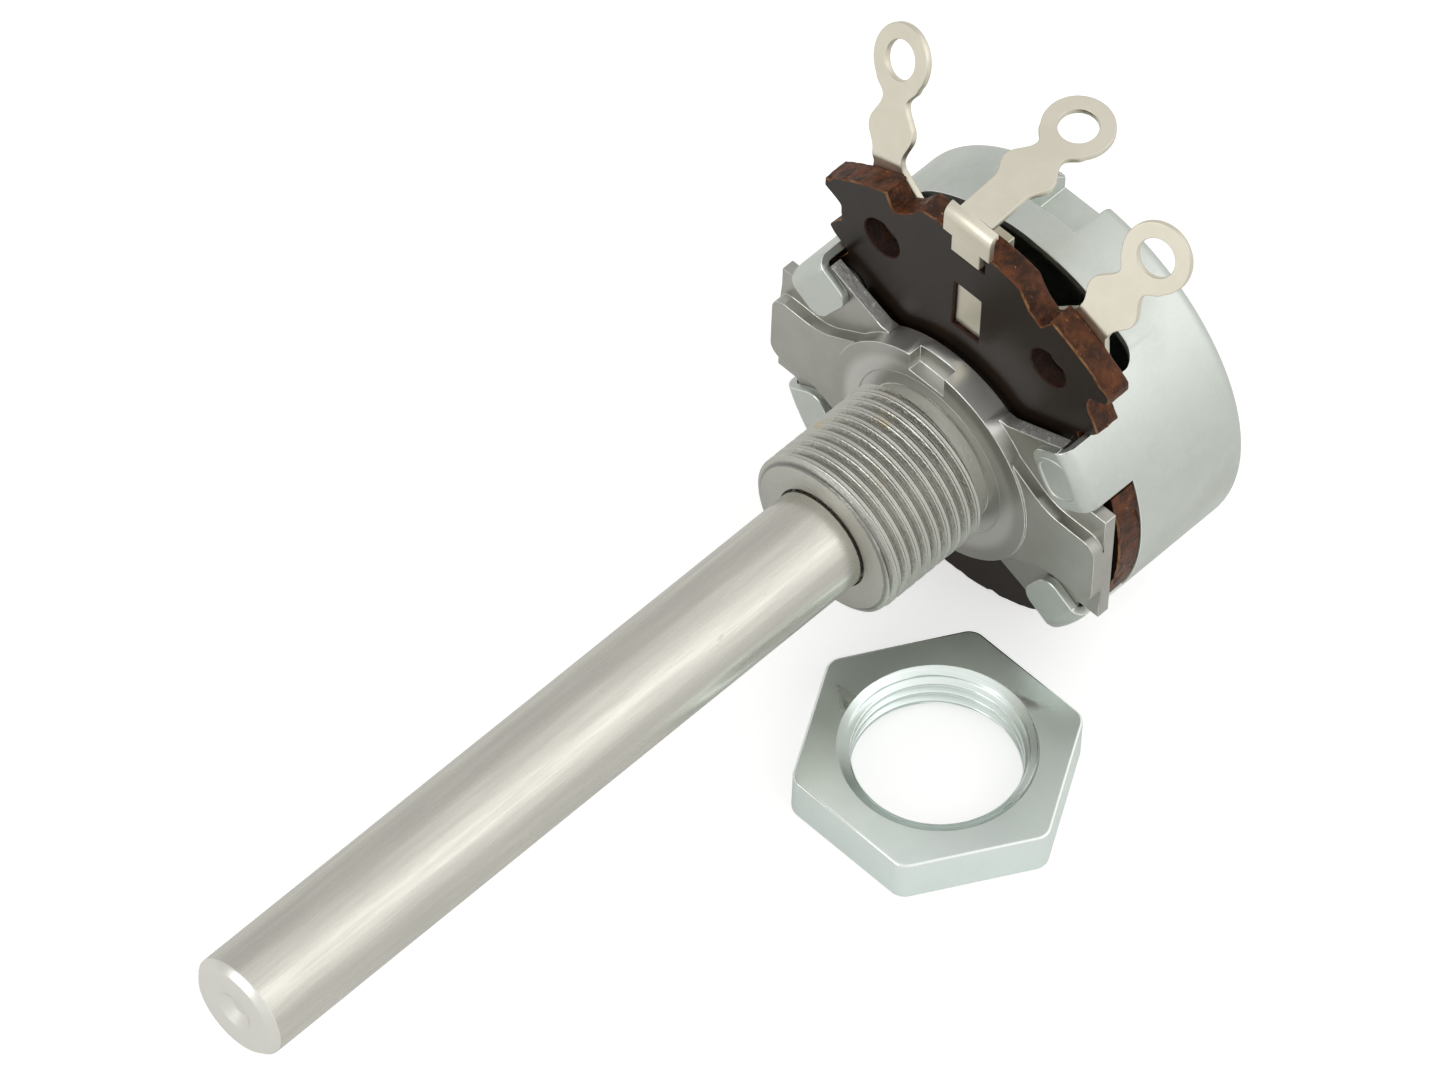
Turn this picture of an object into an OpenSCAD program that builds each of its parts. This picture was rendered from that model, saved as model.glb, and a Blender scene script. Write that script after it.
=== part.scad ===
/* [Shaft] */
// Diameter of the shaft
shaft_d = 6; // [5.8:0.05:6.2]
// Reach of the shaft's tip in front of the mounting face
shaft_reach = 51; // [20:1:80]
// Chamfer at the shaft's tip
tip_chamfer = 0.4; // [0.2:0.1:0.8]
// Radial gap between the journal and its bore
shaft_clearance = 0.06; // [0.04:0.01:0.08]
// Diameter of the journal in the bushing
journal_d = 5.96; // [5.9:0.01:5.99]
// Distance in front of the bushing at which the free end begins
journal_proud = 0.1; // [0.05:0.05:0.6]
// Diameter of the tool's run-out groove between the free end and the journal
runout_d = 5.6; // [5.2:0.1:5.6]
// Length of that groove
runout_length = 0.7; // [0.65:0.05:1.2]
// Diameter of the shaft in the clip's groove
groove_d = 5; // [4.6:0.1:5.4]
// Diameter of the tenon that carries the rotor
tenon_d = 5; // [4.4:0.1:5.4]
// Distance between the tenon's two flats
tenon_flats = 3.8; // [3.4:0.1:4.2]
// Thickness of the riveted head on the tenon
tenon_head = 0.5; // [0.3:0.1:0.8]

/* [Bushing] */
// Outside diameter of the bushing's thread
thread_d = 9.9; // [9.6:0.1:10.4]
// Length of the bushing in front of the mounting face
bushing_length = 8.1; // [6:0.1:12]
// Spacing of the ridges of a thread
thread_pitch = 0.75; // [0.6:0.05:1]
// Width of a ridge's crest
thread_crest = 0.26; // [0.15:0.01:0.35]
// Depth of the grooves between the ridges
thread_depth = 0.36; // [0.3:0.01:0.4]
// Length of the relief behind the thread
relief_length = 1; // [0.6:0.1:2]
// Diameter of the relief
relief_d = 8.6; // [8.2:0.1:9]
// Chamfer at the bushing's front edge
bushing_chamfer = 0.45; // [0.2:0.05:0.7]
// Diameter of the bore's mouth
mouth_d = 6.3; // [6.2:0.05:7]
// Length of the lead into the bore
mouth_lead = 0.15; // [0.1:0.05:0.6]
// Diameter of the boss that locates the wafer
boss_d = 9.2; // [8.6:0.1:9.6]
// Height of that boss on the plate's rear
boss_height = 1.35; // [1:0.05:1.5]

/* [Mounting plate] */
// Diameter of the collar that meets the panel
collar_d = 14; // [12:0.5:15]
// Diameter of the undercut in the collar round the bushing's root
undercut_d = 10.4; // [10.1:0.1:11]
// Depth of that undercut
undercut_depth = 0.05; // [0.02:0.01:0.1]
// Distance from the mounting face to the plate's rear
plate_depth = 1.65; // [1.4:0.05:2]
// Distance from the mounting face down to the wings
wing_drop = 0.15; // [0.05:0.05:0.3]
// Distance from the mounting face down to the clamped ledge
ledge_drop = 0.85; // [0.7:0.05:1]
// Width over both wings
wing_span = 23.6; // [22.4:0.1:23.8]
// Height of a wing
wing_height = 4.8; // [4:0.1:5.2]
// Rounding of a wing's outer corners
wing_corner = 0.9; // [0.3:0.1:1.4]
// Fillet where a wing spreads towards the collar
wing_fillet = 3.2; // [2:0.1:4]
// Slope of the spreading edge
wing_slope = 33.8; // [28:0.2:38]
// Distance from the axis to the end of the wing's straight edge
wing_spread = 8.23; // [7.8:0.01:8.6]
// Height of the plate between its straight edges
plate_height = 11.5; // [10.6:0.1:12]
// Half of the straight edge's length
straight_half = 4.6; // [3.5:0.1:5.5]
// Distance from the axis to the flats under the straps
strap_seat = 11.03; // [10.8:0.01:11.1]
// Width of the notch in the collar
notch_width = 2.5; // [1.5:0.1:3.5]
// Sideways place of the notch
notch_x = -0.5; // [-1.5:0.1:1.5]
// Height of the notch's floor above the axis
notch_floor = 5.5; // [5.2:0.1:6.2]
// Diameter of the ring that the wafer sits on
seat_ring_d = 11; // [10:0.1:11.2]
// Diameter of the four pads under the straps
seat_pad_d = 3; // [2:0.1:4]
// Height of the ring and the pads
seat_height = 0.45; // [0.3:0.05:0.6]

/* [Wafer] */
// Thickness of the wafer
wafer_thickness = 1.6; // [1.2:0.1:2]
// Diameter of the wafer's round part
wafer_d = 23.8; // [23:0.1:23.9]
// Radius of the terminal board's outer edge
board_radius = 16; // [15.8:0.1:17]
// Half width of the board at its bump above the straps
bump_x = 9.8; // [9.6:0.1:10.2]
// Half width of the board in its side notch
waist_x = 9.1; // [8.7:0.1:9.3]
// Half width of the board at its top corners
corner_x = 10.3; // [10:0.1:10.8]
// Height of the bump
bump_z = 8.7; // [8.5:0.1:9]
// Height of the side notch's lower end
waist_low_z = 9.9; // [9.5:0.1:10.2]
// Height of the side notch's upper end
waist_high_z = 11; // [10.6:0.1:11.2]
// Height of the top corners
corner_z = 11.6; // [11.4:0.1:12]
// Radial gap between the wafer's centre hole and the boss
boss_clearance = 0.05; // [0.02:0.01:0.1]
// Gap between the wafer and a strap
strap_clearance = 0.15; // [0.1:0.05:0.3]
// Width of the window
window_width = 1.9; // [1.4:0.1:2.2]
// Height of the bridge between the window and the slot above it
window_bridge = 2.4; // [1.5:0.1:3]
// Height of the window's lower edge above the axis
window_z = 8.5; // [8:0.1:9]
// Depth of the chipped notches in the board's outer edge
edge_notch_depth = 1.5; // [0.8:0.1:2]
// Sideways place of those notches
edge_notch_x = 4.8; // [4.4:0.1:5.2]

/* [Terminals] */
// Thickness of the terminals
terminal_t = 0.4; // [0.3:0.05:0.5]
// Outside diameter of an eyelet
eyelet_d = 4; // [3.6:0.1:4.4]
// Diameter of an eyelet's hole
eyelet_hole_d = 2.2; // [1.8:0.1:2.4]
// Width of the neck below an eyelet
neck_width = 1.8; // [1.4:0.1:2.2]
// Width of the shoulder
shoulder_width = 3.3; // [2.8:0.1:3.8]
// Width of the stem
stem_width = 2.2; // [1.8:0.1:2.4]
// Length from the bend to the middle of the shoulder
shoulder_v = 1.45; // [1.2:0.05:1.6]
// Length from the bend to the neck
neck_v = 3.1; // [2.9:0.1:3.3]
// Length from the bend to the eyelet's centre
eyelet_v = 5.3; // [5:0.1:6]
// Sideways place of the end terminals' holes
pad_x = 6; // [5.6:0.1:6.4]
// Distance from the board's top down to the end terminals' holes
pad_drop = 5.1; // [4.8:0.1:5.3]
// Diameter of those holes in the wafer
pad_hole_d = 2.5; // [2:0.1:2.8]
// Diameter of an end terminal's pad
pad_d = 5.2; // [4.6:0.1:5.3]
// Length from an end terminal's hole to its bend
pad_to_bend = 4; // [3.6:0.1:4.6]
// Splay of the end terminals from the upright
splay = 20.5; // [16:0.5:24]
// Bend of the end terminals towards the rear
end_bend = 28; // [0:1:60]
// Inner radius of every bend
bend_radius = 0.3; // [0.2:0.05:0.5]
// Sideways place of the middle terminal
middle_x = 0.15; // [-0.5:0.05:0.5]
// Width of the middle terminal's crossbar
crossbar_width = 3.3; // [2.8:0.1:3.8]
// Gap between the board's top and the crossbar
crossbar_gap = 0.2; // [0.1:0.1:0.6]
// Height of the crossbar up to its bend
crossbar_rise = 1.2; // [0.8:0.1:1.6]
// Extra stem length of the middle terminal
middle_lead = 2.6; // [1:0.1:4]
// Angle between the middle terminal's blade and the upright
middle_bend = 87; // [60:1:90]
// Sideways turn of the middle terminal's blade
middle_turn = 1.5; // [0:0.5:4]
// Width of the hook that goes through the wafer
hook_width = 2; // [1.6:0.1:2.2]
// Length from the crossbar's lower edge down to the hook's lower face
hook_drop = 1.15; // [0.9:0.05:1.3]
// Length of the hook's clinched end
hook_clinch = 1.1; // [0.8:0.1:1.4]
// Height of the slot below the hook
slot_drop = 0.65; // [0.4:0.05:0.9]
// Gap round the hook in its slot
slot_clearance = 0.05; // [0.02:0.01:0.1]

/* [Cover] */
// Outside diameter of the cover
cover_d = 23.9; // [23.8:0.1:24.4]
// Thickness of the cover's sheet
cover_wall = 0.5; // [0.4:0.05:0.6]
// Distance from the wafer's rear face to the cover's rear
cover_depth = 8.2; // [7.8:0.1:10]
// Rounding of the cover's rear edge
cover_edge = 0.9; // [0.7:0.1:1.4]
// Width of the window in the cover's top
mouth_width = 15.8; // [14:0.1:16.4]
// Depth of that window behind the wafer
mouth_depth = 3.3; // [2:0.1:3.4]
// Rounding of the window's corners
mouth_corner = 1; // [0.4:0.1:1.5]
// Angle of the straps from the horizontal
strap_angle = 31.6; // [30:0.2:33]
// Width of the upper straps
strap_width = 3.85; // [3.4:0.05:4]
// Width of the lower straps
lower_strap_width = 3.2; // [2.8:0.1:3.8]
// Distance from the axis to a folded strap's tip
strap_tip = 8.9; // [8.7:0.1:9.4]
// Rounding of a strap's tip
strap_corner = 0.9; // [0.4:0.1:1.2]
// Outer radius of a strap's fold
strap_fold = 0.8; // [0.6:0.05:1]
// Width of the stop pressed into the cover
stop_width = 3.3; // [2.8:0.1:3.6]
// Sideways place of the stop
stop_x = -0.35; // [-0.4:0.05:0.4]
// Height of the stop's outer floor above the axis
stop_floor = 10.2; // [10:0.1:10.4]
// Length of the stop, measured from the cover's rear
stop_length = 2.9; // [2.4:0.1:3]

/* [Rotor] */
// Thickness of the thrust washer
thrust_t = 0.3; // [0.2:0.05:0.4]
// Width of the ring that the thrust washer forms
thrust_width = 1.45; // [1:0.05:1.5]
// Thickness of the spring washer's sheet
spring_washer_t = 0.2; // [0.15:0.05:0.25]
// Height of the dished spring washer
spring_washer_rise = 0.42; // [0.35:0.01:0.45]
// Width of the ring that the spring washer forms
spring_washer_width = 1.2; // [0.9:0.05:1.3]
// Thickness of the retaining ring
clip_t = 0.6; // [0.4:0.05:0.65]
// Outside diameter of the retaining ring
clip_d = 8.6; // [8:0.1:9]
// Gap between the retaining ring's ends
clip_gap = 2.2; // [1.6:0.1:3]
// Radial gap between a washer and the shaft, on top of the bore's
washer_clearance = 0.06; // [0.04:0.01:0.1]
// Gap of parts that turn against each other, face to face
running_gap = 0.03; // [0.02:0.01:0.05]
// Gap round a part that is held in a slot or on a tenon
seat_clearance = 0.02; // [0.01:0.01:0.05]
// Distance from the wafer's rear face to the rotor
rotor_lift = 1.3; // [1.2:0.05:1.4]
// Diameter of the rotor
rotor_d = 14; // [13:0.5:15]
// Thickness of the rotor
rotor_t = 2.2; // [1.6:0.1:2.4]
// Inner radius of the resistive track
track_inner = 7.4; // [7.2:0.1:7.6]
// Outer radius of the resistive track
track_outer = 9.4; // [9.2:0.1:9.5]
// Thickness of the resistive track
track_t = 0.1; // [0.05:0.01:0.15]
// Half of the angle that the track leaves open at the top
track_open = 24; // [20:1:25]
// Inner radius of the collector ring
collector_inner = 5.1; // [4.9:0.1:5.2]
// Outer radius of the collector ring
collector_outer = 6.5; // [6.3:0.1:6.7]
// Thickness of the collector ring
collector_t = 0.3; // [0.2:0.05:0.35]
// Distance from the wafer's front face back to the collector's pan in the window
pan_drop = 0.25; // [0.1:0.05:0.6]
// Width of the strip from the collector ring to the middle terminal
strip_width = 2.4; // [2.3:0.1:3]
// Thickness of the wiper spring
wiper_t = 0.3; // [0.2:0.05:0.35]
// Outer radius of the wiper spring's ring
wiper_ring_r = 5.3; // [5.2:0.1:6]
// Width of the wiper spring's arm
wiper_arm_width = 2.6; // [2:0.1:3]
// Reach of the wiper spring's arm
wiper_reach = 9.2; // [9:0.1:9.4]
// Diameter of the carbon brushes
brush_d = 1.1; // [0.8:0.1:1.3]
// Diameter of a brush's shank
shank_d = 0.6; // [0.4:0.1:0.7]
// Distance of the wiper rivets from the axis
rivet_r = 4.35; // [4.2:0.05:4.5]
// Diameter of a wiper rivet's shank
rivet_d = 0.8; // [0.6:0.1:1]
// Diameter of a wiper rivet's head
rivet_head_d = 1.5; // [1.2:0.1:1.6]
// Thickness of a wiper rivet's head
rivet_head_t = 0.2; // [0.1:0.05:0.22]
// Thickness of the stop plate
stop_plate_t = 1; // [0.8:0.1:1.2]
// Radius of the stop plate's hub
stop_hub_r = 3.3; // [3:0.1:3.4]
// Width of the stop plate's arm
stop_arm_width = 5; // [4:0.1:5]
// Reach of the stop plate's arm
stop_reach = 10.6; // [10.4:0.1:10.9]
// Gap between the stop plate's bent end and the cover's rear
stop_end_gap = 0.5; // [0.3:0.1:1]

/* [Nut] */
// Width of the nut across its flats
nut_flats = 14; // [13:0.5:15]
// Width of the nut across its rounded corners
nut_corners = 15.9; // [15.6:0.1:16]
// Thickness of the nut
nut_thickness = 2.85; // [2:0.05:4]
// Diameter of the flat ring on each face of the nut
nut_face_d = 15.2; // [14.2:0.1:15.4]
// Diameter of the nut's core
nut_core_d = 9.2; // [9:0.05:9.3]
// Diameter of the nut's countersunk mouth
nut_mouth_d = 10.8; // [10.2:0.1:11.5]
// Sideways place of the loose nut
nut_x = 9.42; // [9:0.01:14]
// Distance of the loose nut in front of the mounting face
nut_y = 8.53; // [8.2:0.01:20]

/* [Hidden] */
$fn = 96;
// Overshoot of cutting shapes
cut = 1;

// Stations along the shaft, counted rearwards from the mounting face
wafer_front = plate_depth + seat_height;
wafer_rear = wafer_front + wafer_thickness;
boss_rear = plate_depth + boss_height;
spring_washer_front = boss_rear + thrust_t;
clip_front = spring_washer_front + spring_washer_rise + running_gap;
rotor_front = wafer_rear + rotor_lift;
rotor_rear = rotor_front + rotor_t;
stop_plate_rear = rotor_rear + stop_plate_t;
shaft_rear = stop_plate_rear + tenon_head;
wiper_front = rotor_front - wiper_t;
cover_rear = wafer_rear + cover_depth;
strap_front = ledge_drop - cover_wall;

// Heights on the terminal board
pad_z = board_radius - pad_drop;
crossbar_z = board_radius + crossbar_gap;
hook_z = crossbar_z - hook_drop;
slot_z = hook_z - slot_drop;
window_height = slot_z - window_bridge - window_z;

// Radii worked out from the fits
shaft_r = shaft_d / 2;
journal_r = journal_d / 2;
bore_r = journal_r + shaft_clearance;
cover_r = cover_d / 2;
cover_inner_r = cover_r - cover_wall;
wafer_hole_r = boss_d / 2 + boss_clearance;
thrust_inner_r = bore_r + washer_clearance;
track_middle_r = (track_inner + track_outer) / 2;
collector_middle_r = (collector_inner + collector_outer) / 2;

// Rises of a straight taper and of a smooth one, from 0 to 1
function part(v, from, to) = min(1, max(0, (v - from) / (to - from)));
function smooth(v, from, to) = (1 - cos(180 * part(v, from, to))) / 2;

// Half width of a solder tag at a length from its bend
function tagHalf(v) =
    v < shoulder_v
        ? (stem_width + (shoulder_width - stem_width) * smooth(v, 0, shoulder_v)) / 2
        : v < neck_v
            ? (shoulder_width - (shoulder_width - neck_width) * smooth(v, shoulder_v, neck_v)) / 2
            : neck_width / 2 + (eyelet_d * 0.4 - neck_width / 2) * smooth(v, neck_v, tag_join);
tag_join = eyelet_v - eyelet_d * 0.3;
tag_steps = 28;

// Points [radius, station] of a thread's grooves between two stations, as plain rings
function grooves(from, to) = let (
        count = floor((to - from) / thread_pitch),
        slope = (thread_pitch - thread_crest) / 2,
        first = (from + to - (count - 1) * thread_pitch) / 2)
    [for (i = [0:count - 1]) let (middle = first + i * thread_pitch)
        each [[thread_d / 2, middle - slope], [thread_d / 2 - thread_depth, middle],
            [thread_d / 2, middle + slope]]];

// A solid of revolution about the shaft's axis, from points [radius, station]
module turned() {
    rotate([-90, 0, 0]) rotate_extrude() children();
}

// An outline drawn as seen from the front, with its thickness from one station to another
module slab(front, rear) {
    translate([0, rear, 0]) rotate([90, 0, 0]) linear_extrude(rear - front) children();
}

// The same shape on both sides of the upright
module bothSides() {
    for (side = [0, 1]) mirror([side, 0, 0]) children();
}

// A rectangle from the axis outwards, with its far outer corner rounded
module roundedProfile(radius, front, rear, corner) {
    translate([0, front]) square([radius, rear - front - corner]);
    translate([0, front]) square([radius - corner, rear - front]);
    translate([radius - corner, rear - corner]) circle(corner);
}

module ring2d(inner, outer) {
    difference() {
        circle(outer);
        circle(inner);
    }
}

// Pieces of the casting

module wingOutline() {
    half = wing_height / 2;
    tip = wing_span / 2;
    tangent = wing_fillet * tan(wing_slope / 2);
    slope_x = cos(wing_slope);
    slope_z = sin(wing_slope);
    reach = wing_spread * 0.4;
    bothSides() for (flip = [0, 1]) mirror([0, flip, 0]) {
        difference() {
            polygon([[0, 0], [tip, 0], [tip, half], [wing_spread, half],
                [wing_spread - reach * slope_x, half + reach * slope_z], [0, half + reach * slope_z]]);
            translate([tip - wing_corner, half - wing_corner]) difference() {
                square(wing_corner + cut);
                circle(wing_corner);
            }
        }
        difference() {
            polygon([[wing_spread, half], [wing_spread + tangent, half],
                [wing_spread + tangent, half + wing_fillet],
                [wing_spread - tangent * slope_x, half + tangent * slope_z]]);
            translate([wing_spread + tangent, half + wing_fillet]) circle(wing_fillet);
        }
    }
}

module ledgeOutline() {
    ear_t = strap_width / 2;
    ear = [strap_seat * cos(strap_angle) - ear_t * sin(strap_angle),
        strap_seat * sin(strap_angle) + ear_t * cos(strap_angle)];
    step = [strap_seat * cos(strap_angle) + ear_t * sin(strap_angle),
        strap_seat * sin(strap_angle) - ear_t * cos(strap_angle)];
    half = plate_height / 2;
    bothSides() for (flip = [0, 1]) mirror([0, flip, 0]) {
        polygon([[0, 0], [wing_span / 2, 0], [wing_span / 2, step.y], step, ear,
            [straight_half, half], [0, half]]);
    }
}

module bushing_plate() color("#9b988f") {
    thread_front = -bushing_length + bushing_chamfer;
    thread_rear = -relief_length - (thread_pitch - thread_crest) / 2;
    difference() {
        union() {
            turned() polygon(concat(
                [[0, -bushing_length], [thread_d / 2 - bushing_chamfer, -bushing_length],
                    [thread_d / 2, thread_front]],
                grooves(thread_front, thread_rear),
                [[thread_d / 2, thread_rear], [thread_d / 2 - thread_depth, -relief_length],
                    [relief_d / 2, -relief_length], [relief_d / 2, undercut_depth],
                    [undercut_d / 2, undercut_depth], [undercut_d / 2, 0], [collar_d / 2, 0],
                    [collar_d / 2, plate_depth], [boss_d / 2, plate_depth], [boss_d / 2, boss_rear],
                    [0, boss_rear]]));
            slab(wing_drop, plate_depth) wingOutline();
            slab(ledge_drop, plate_depth) ledgeOutline();
            slab(plate_depth, wafer_front) {
                circle(seat_ring_d / 2);
                bothSides() for (flip = [0, 1]) mirror([0, flip, 0]) rotate(strap_angle)
                    translate([strap_seat - seat_pad_d / 2 - seat_clearance, 0]) circle(seat_pad_d / 2);
            }
        }
        turned() polygon([[0, -bushing_length - cut], [mouth_d / 2, -bushing_length - cut],
            [mouth_d / 2, -bushing_length], [bore_r, -bushing_length + mouth_lead],
            [bore_r, boss_rear + cut], [0, boss_rear + cut]]);
        slab(-cut, ledge_drop) translate([notch_x - notch_width / 2, notch_floor])
            square([notch_width, collar_d / 2]);
    }
}

module tenonOutline(clearance) {
    intersection() {
        circle(tenon_d / 2 + clearance);
        square([tenon_d + 1, tenon_flats + 2 * clearance], center = true);
    }
}

module shaft() color("#d5d2c6") {
    free_rear = -bushing_length - journal_proud;
    journal_front = free_rear + runout_length;
    groove_front = clip_front - seat_clearance;
    groove_rear = clip_front + clip_t + seat_clearance;
    turned() polygon([[0, -shaft_reach], [shaft_r - tip_chamfer, -shaft_reach],
        [shaft_r, -shaft_reach + tip_chamfer], [shaft_r, free_rear], [runout_d / 2, free_rear],
        [runout_d / 2, journal_front], [journal_r, journal_front], [journal_r, groove_front],
        [groove_d / 2, groove_front], [groove_d / 2, groove_rear], [journal_r, groove_rear],
        [journal_r, rotor_front], [0, rotor_front]]);
    slab(rotor_front, stop_plate_rear) tenonOutline(0);
    slab(stop_plate_rear, shaft_rear) circle(tenon_d / 2);
}

module thrust_washer() color("#a9aba8") {
    slab(boss_rear, boss_rear + thrust_t) ring2d(thrust_inner_r, thrust_inner_r + thrust_width);
}

// A dished ring, whose inner edge bears on the thrust washer
module spring_washer() color("#8d8f8c") {
    inner = thrust_inner_r + washer_clearance;
    outer = inner + spring_washer_width;
    front = spring_washer_front;
    rise = spring_washer_rise;
    turned() polygon([[inner, front], [inner, front + spring_washer_t], [outer, front + rise],
        [outer, front + rise - spring_washer_t]]);
}

// An open ring, snapped sideways into the shaft's groove
module retaining_ring() color("#6f716f") {
    slab(clip_front, clip_front + clip_t) difference() {
        ring2d(groove_d / 2 + seat_clearance, clip_d / 2);
        translate([-clip_gap / 2, 0]) square([clip_gap, clip_d]);
    }
}

// Pieces on the wafer

// A chipped notch in the outer edge, deepest on its outer side
module edgeNotch() {
    low = sqrt(board_radius * board_radius - edge_notch_x * edge_notch_x) - edge_notch_depth;
    translate([edge_notch_x, low]) polygon(edge_notch_depth * [[-0.87, 2], [-0.8, 1.27],
        [-0.2, 0.4], [0.33, 0], [0.67, 0.6], [0.87, 2]]);
}

module wafer() color("#3f3833") {
    slab(wafer_front, wafer_rear) difference() {
        union() {
            circle(wafer_d / 2);
            intersection() {
                circle(board_radius);
                bothSides() polygon([[0, 0], [bump_x - 0.8, bump_z - 1], [bump_x, bump_z],
                    [waist_x, waist_low_z], [waist_x, waist_high_z], [corner_x, corner_z],
                    [corner_x, board_radius + 1], [0, board_radius + 1]]);
            }
        }
        circle(wafer_hole_r);
        bothSides() {
            strapNotch(strap_angle, strap_width);
            strapNotch(-strap_angle, lower_strap_width);
            translate([pad_x, pad_z]) circle(pad_hole_d / 2);
            edgeNotch();
        }
        translate([middle_x - window_width / 2, window_z]) square([window_width, window_height]);
        translate([middle_x - hook_width / 2 - slot_clearance, slot_z])
            square([hook_width + 2 * slot_clearance, slot_drop + terminal_t + slot_clearance]);
    }
}

module strapNotch(angle, width) {
    chord = sqrt(cover_inner_r * cover_inner_r - width * width / 4);
    rotate(angle) translate([chord - strap_clearance, -width / 2 - strap_clearance])
        square([board_radius, width + 2 * strap_clearance]);
}

// A horseshoe whose ends run out to the pads of the end terminals
module resistive_track() color("#1c1b1a") {
    slab(wafer_rear, wafer_rear + track_t) difference() {
        union() {
            ring2d(track_inner, track_outer);
            bothSides() intersection() {
                ring2d(track_inner, track_outer + 1);
                polygon([[0, 0], 2 * board_radius * [sin(track_open), cos(track_open)],
                    2 * board_radius * [sin(track_open + 10), cos(track_open + 10)]]);
            }
        }
        polygon([[0, 0], 2 * board_radius * [-sin(track_open), cos(track_open)],
            2 * board_radius * [sin(track_open), cos(track_open)]]);
        bothSides() translate([pad_x, pad_z]) circle(pad_d / 2);
    }
}

// A ring and its strip, which is pressed forwards into the wafer's window as a flat pan
module collector_ring() color("#c9c2b2") difference() {
    pan_front = wafer_front + pan_drop;
    collector_rear = wafer_rear + collector_t;
    union() {
        slab(wafer_rear, collector_rear) {
            ring2d(collector_inner, collector_outer);
            translate([middle_x - strip_width / 2, collector_middle_r])
                square([strip_width, hook_z - slot_clearance - collector_middle_r]);
        }
        slab(pan_front, collector_rear) panOutline(slot_clearance);
    }
    slab(pan_front + collector_t, collector_rear + cut) panOutline(slot_clearance + collector_t);
}

module panOutline(gap) {
    translate([middle_x - window_width / 2 + gap, window_z + gap])
        square([window_width - 2 * gap, window_height - 2 * gap]);
}

// A solder tag from its bend to its eyelet, with an extra length of stem
module tagOutline(lead) {
    side = [for (i = [0:tag_steps]) let (v = tag_join * i / tag_steps) [tagHalf(v), v + lead]];
    other = [for (i = [tag_steps:-1:0]) [-side[i].x, side[i].y]];
    difference() {
        union() {
            polygon(concat([[stem_width / 2, 0]], side, other, [[-stem_width / 2, 0]]));
            translate([0, eyelet_v + lead]) circle(eyelet_d / 2);
        }
        translate([0, eyelet_v + lead]) circle(eyelet_hole_d / 2);
    }
}

// A strip's bend towards the rear, and what follows it, in the frame of the upright strip
module bentBack(angle, width) {
    centre = terminal_t + bend_radius;
    translate([0, centre, 0]) {
        rotate([90, 0, -90]) rotate_extrude(angle = angle)
            translate([bend_radius, -width / 2]) square([terminal_t, width]);
        rotate([-angle, 0, 0]) translate([0, -centre, 0]) children();
    }
}

module endTerminal() {
    shoulder = pad_d * 0.45;
    straight = pad_to_bend * 0.92;
    slab(wafer_rear, wafer_rear + terminal_t) translate([pad_x, pad_z]) rotate(-splay) difference() {
        union() {
            circle(pad_d / 2);
            polygon([[-shoulder, pad_d * 0.2], [shoulder, pad_d * 0.2],
                [stem_width / 2, straight], [stem_width / 2, pad_to_bend],
                [-stem_width / 2, pad_to_bend], [-stem_width / 2, straight]]);
        }
        circle(pad_hole_d / 2 - terminal_t);
    }
    slab(wafer_rear - terminal_t, wafer_rear) translate([pad_x, pad_z])
        ring2d(pad_hole_d / 2 - terminal_t, pad_hole_d / 2 - seat_clearance);
    translate([pad_x, wafer_rear, pad_z]) rotate([0, splay, 0]) translate([0, 0, pad_to_bend])
        bentBack(end_bend, stem_width) slab(0, terminal_t) tagOutline(0);
}

module left_terminal() color("#d6cfc0") mirror([1, 0, 0]) endTerminal();

module right_terminal() color("#d6cfc0") endTerminal();

// Hooked through the slot below, with its crossbar bent over the board's edge
module middle_terminal() color("#d6cfc0") translate([middle_x, 0, 0]) {
    front = wafer_front - terminal_t;
    clinch_front = wafer_rear + collector_t;
    translate([-hook_width / 2, front, hook_z])
        cube([hook_width, clinch_front - front + terminal_t, terminal_t]);
    translate([-hook_width / 2, front, hook_z]) cube([hook_width, terminal_t, crossbar_z - hook_z]);
    translate([-hook_width / 2, clinch_front, hook_z - hook_clinch])
        cube([hook_width, terminal_t, hook_clinch]);
    translate([-crossbar_width / 2, front, crossbar_z])
        cube([crossbar_width, terminal_t, crossbar_rise]);
    translate([0, front, crossbar_z + crossbar_rise]) bentBack(middle_bend, crossbar_width)
        slab(0, terminal_t) rotate(middle_turn) tagOutline(middle_lead);
}

// Pieces that turn with the shaft

module rotor() color("#4a3a2c") {
    slab(rotor_front, rotor_rear) difference() {
        circle(rotor_d / 2);
        tenonOutline(seat_clearance);
        rivetPlaces() circle(rivet_d / 2);
    }
}

module rivetPlaces() {
    for (side = [-1, 1]) translate([side * rivet_r, 0]) children();
}

module brushPlace(radius) {
    translate([0, -radius]) children();
}

module wiper_spring() color("#b08d57") {
    arm_end = wiper_reach - wiper_arm_width / 2;
    slab(wiper_front, rotor_front) difference() {
        union() {
            circle(wiper_ring_r);
            translate([-wiper_arm_width / 2, -arm_end]) square([wiper_arm_width, arm_end]);
            translate([0, -arm_end]) circle(wiper_arm_width / 2);
        }
        circle(thrust_inner_r + washer_clearance);
        rivetPlaces() circle(rivet_d / 2);
        brushPlace(track_middle_r) circle(shank_d / 2);
        brushPlace(collector_middle_r) circle(shank_d / 2);
    }
}

module wiper_rivets() color("#a8875a") {
    slab(wiper_front - rivet_head_t, wiper_front) rivetPlaces() circle(rivet_head_d / 2);
    slab(wiper_front, rotor_rear) rivetPlaces() circle(rivet_d / 2);
    slab(rotor_rear, rotor_rear + rivet_head_t) rivetPlaces() circle(rivet_head_d / 2);
}

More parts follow.
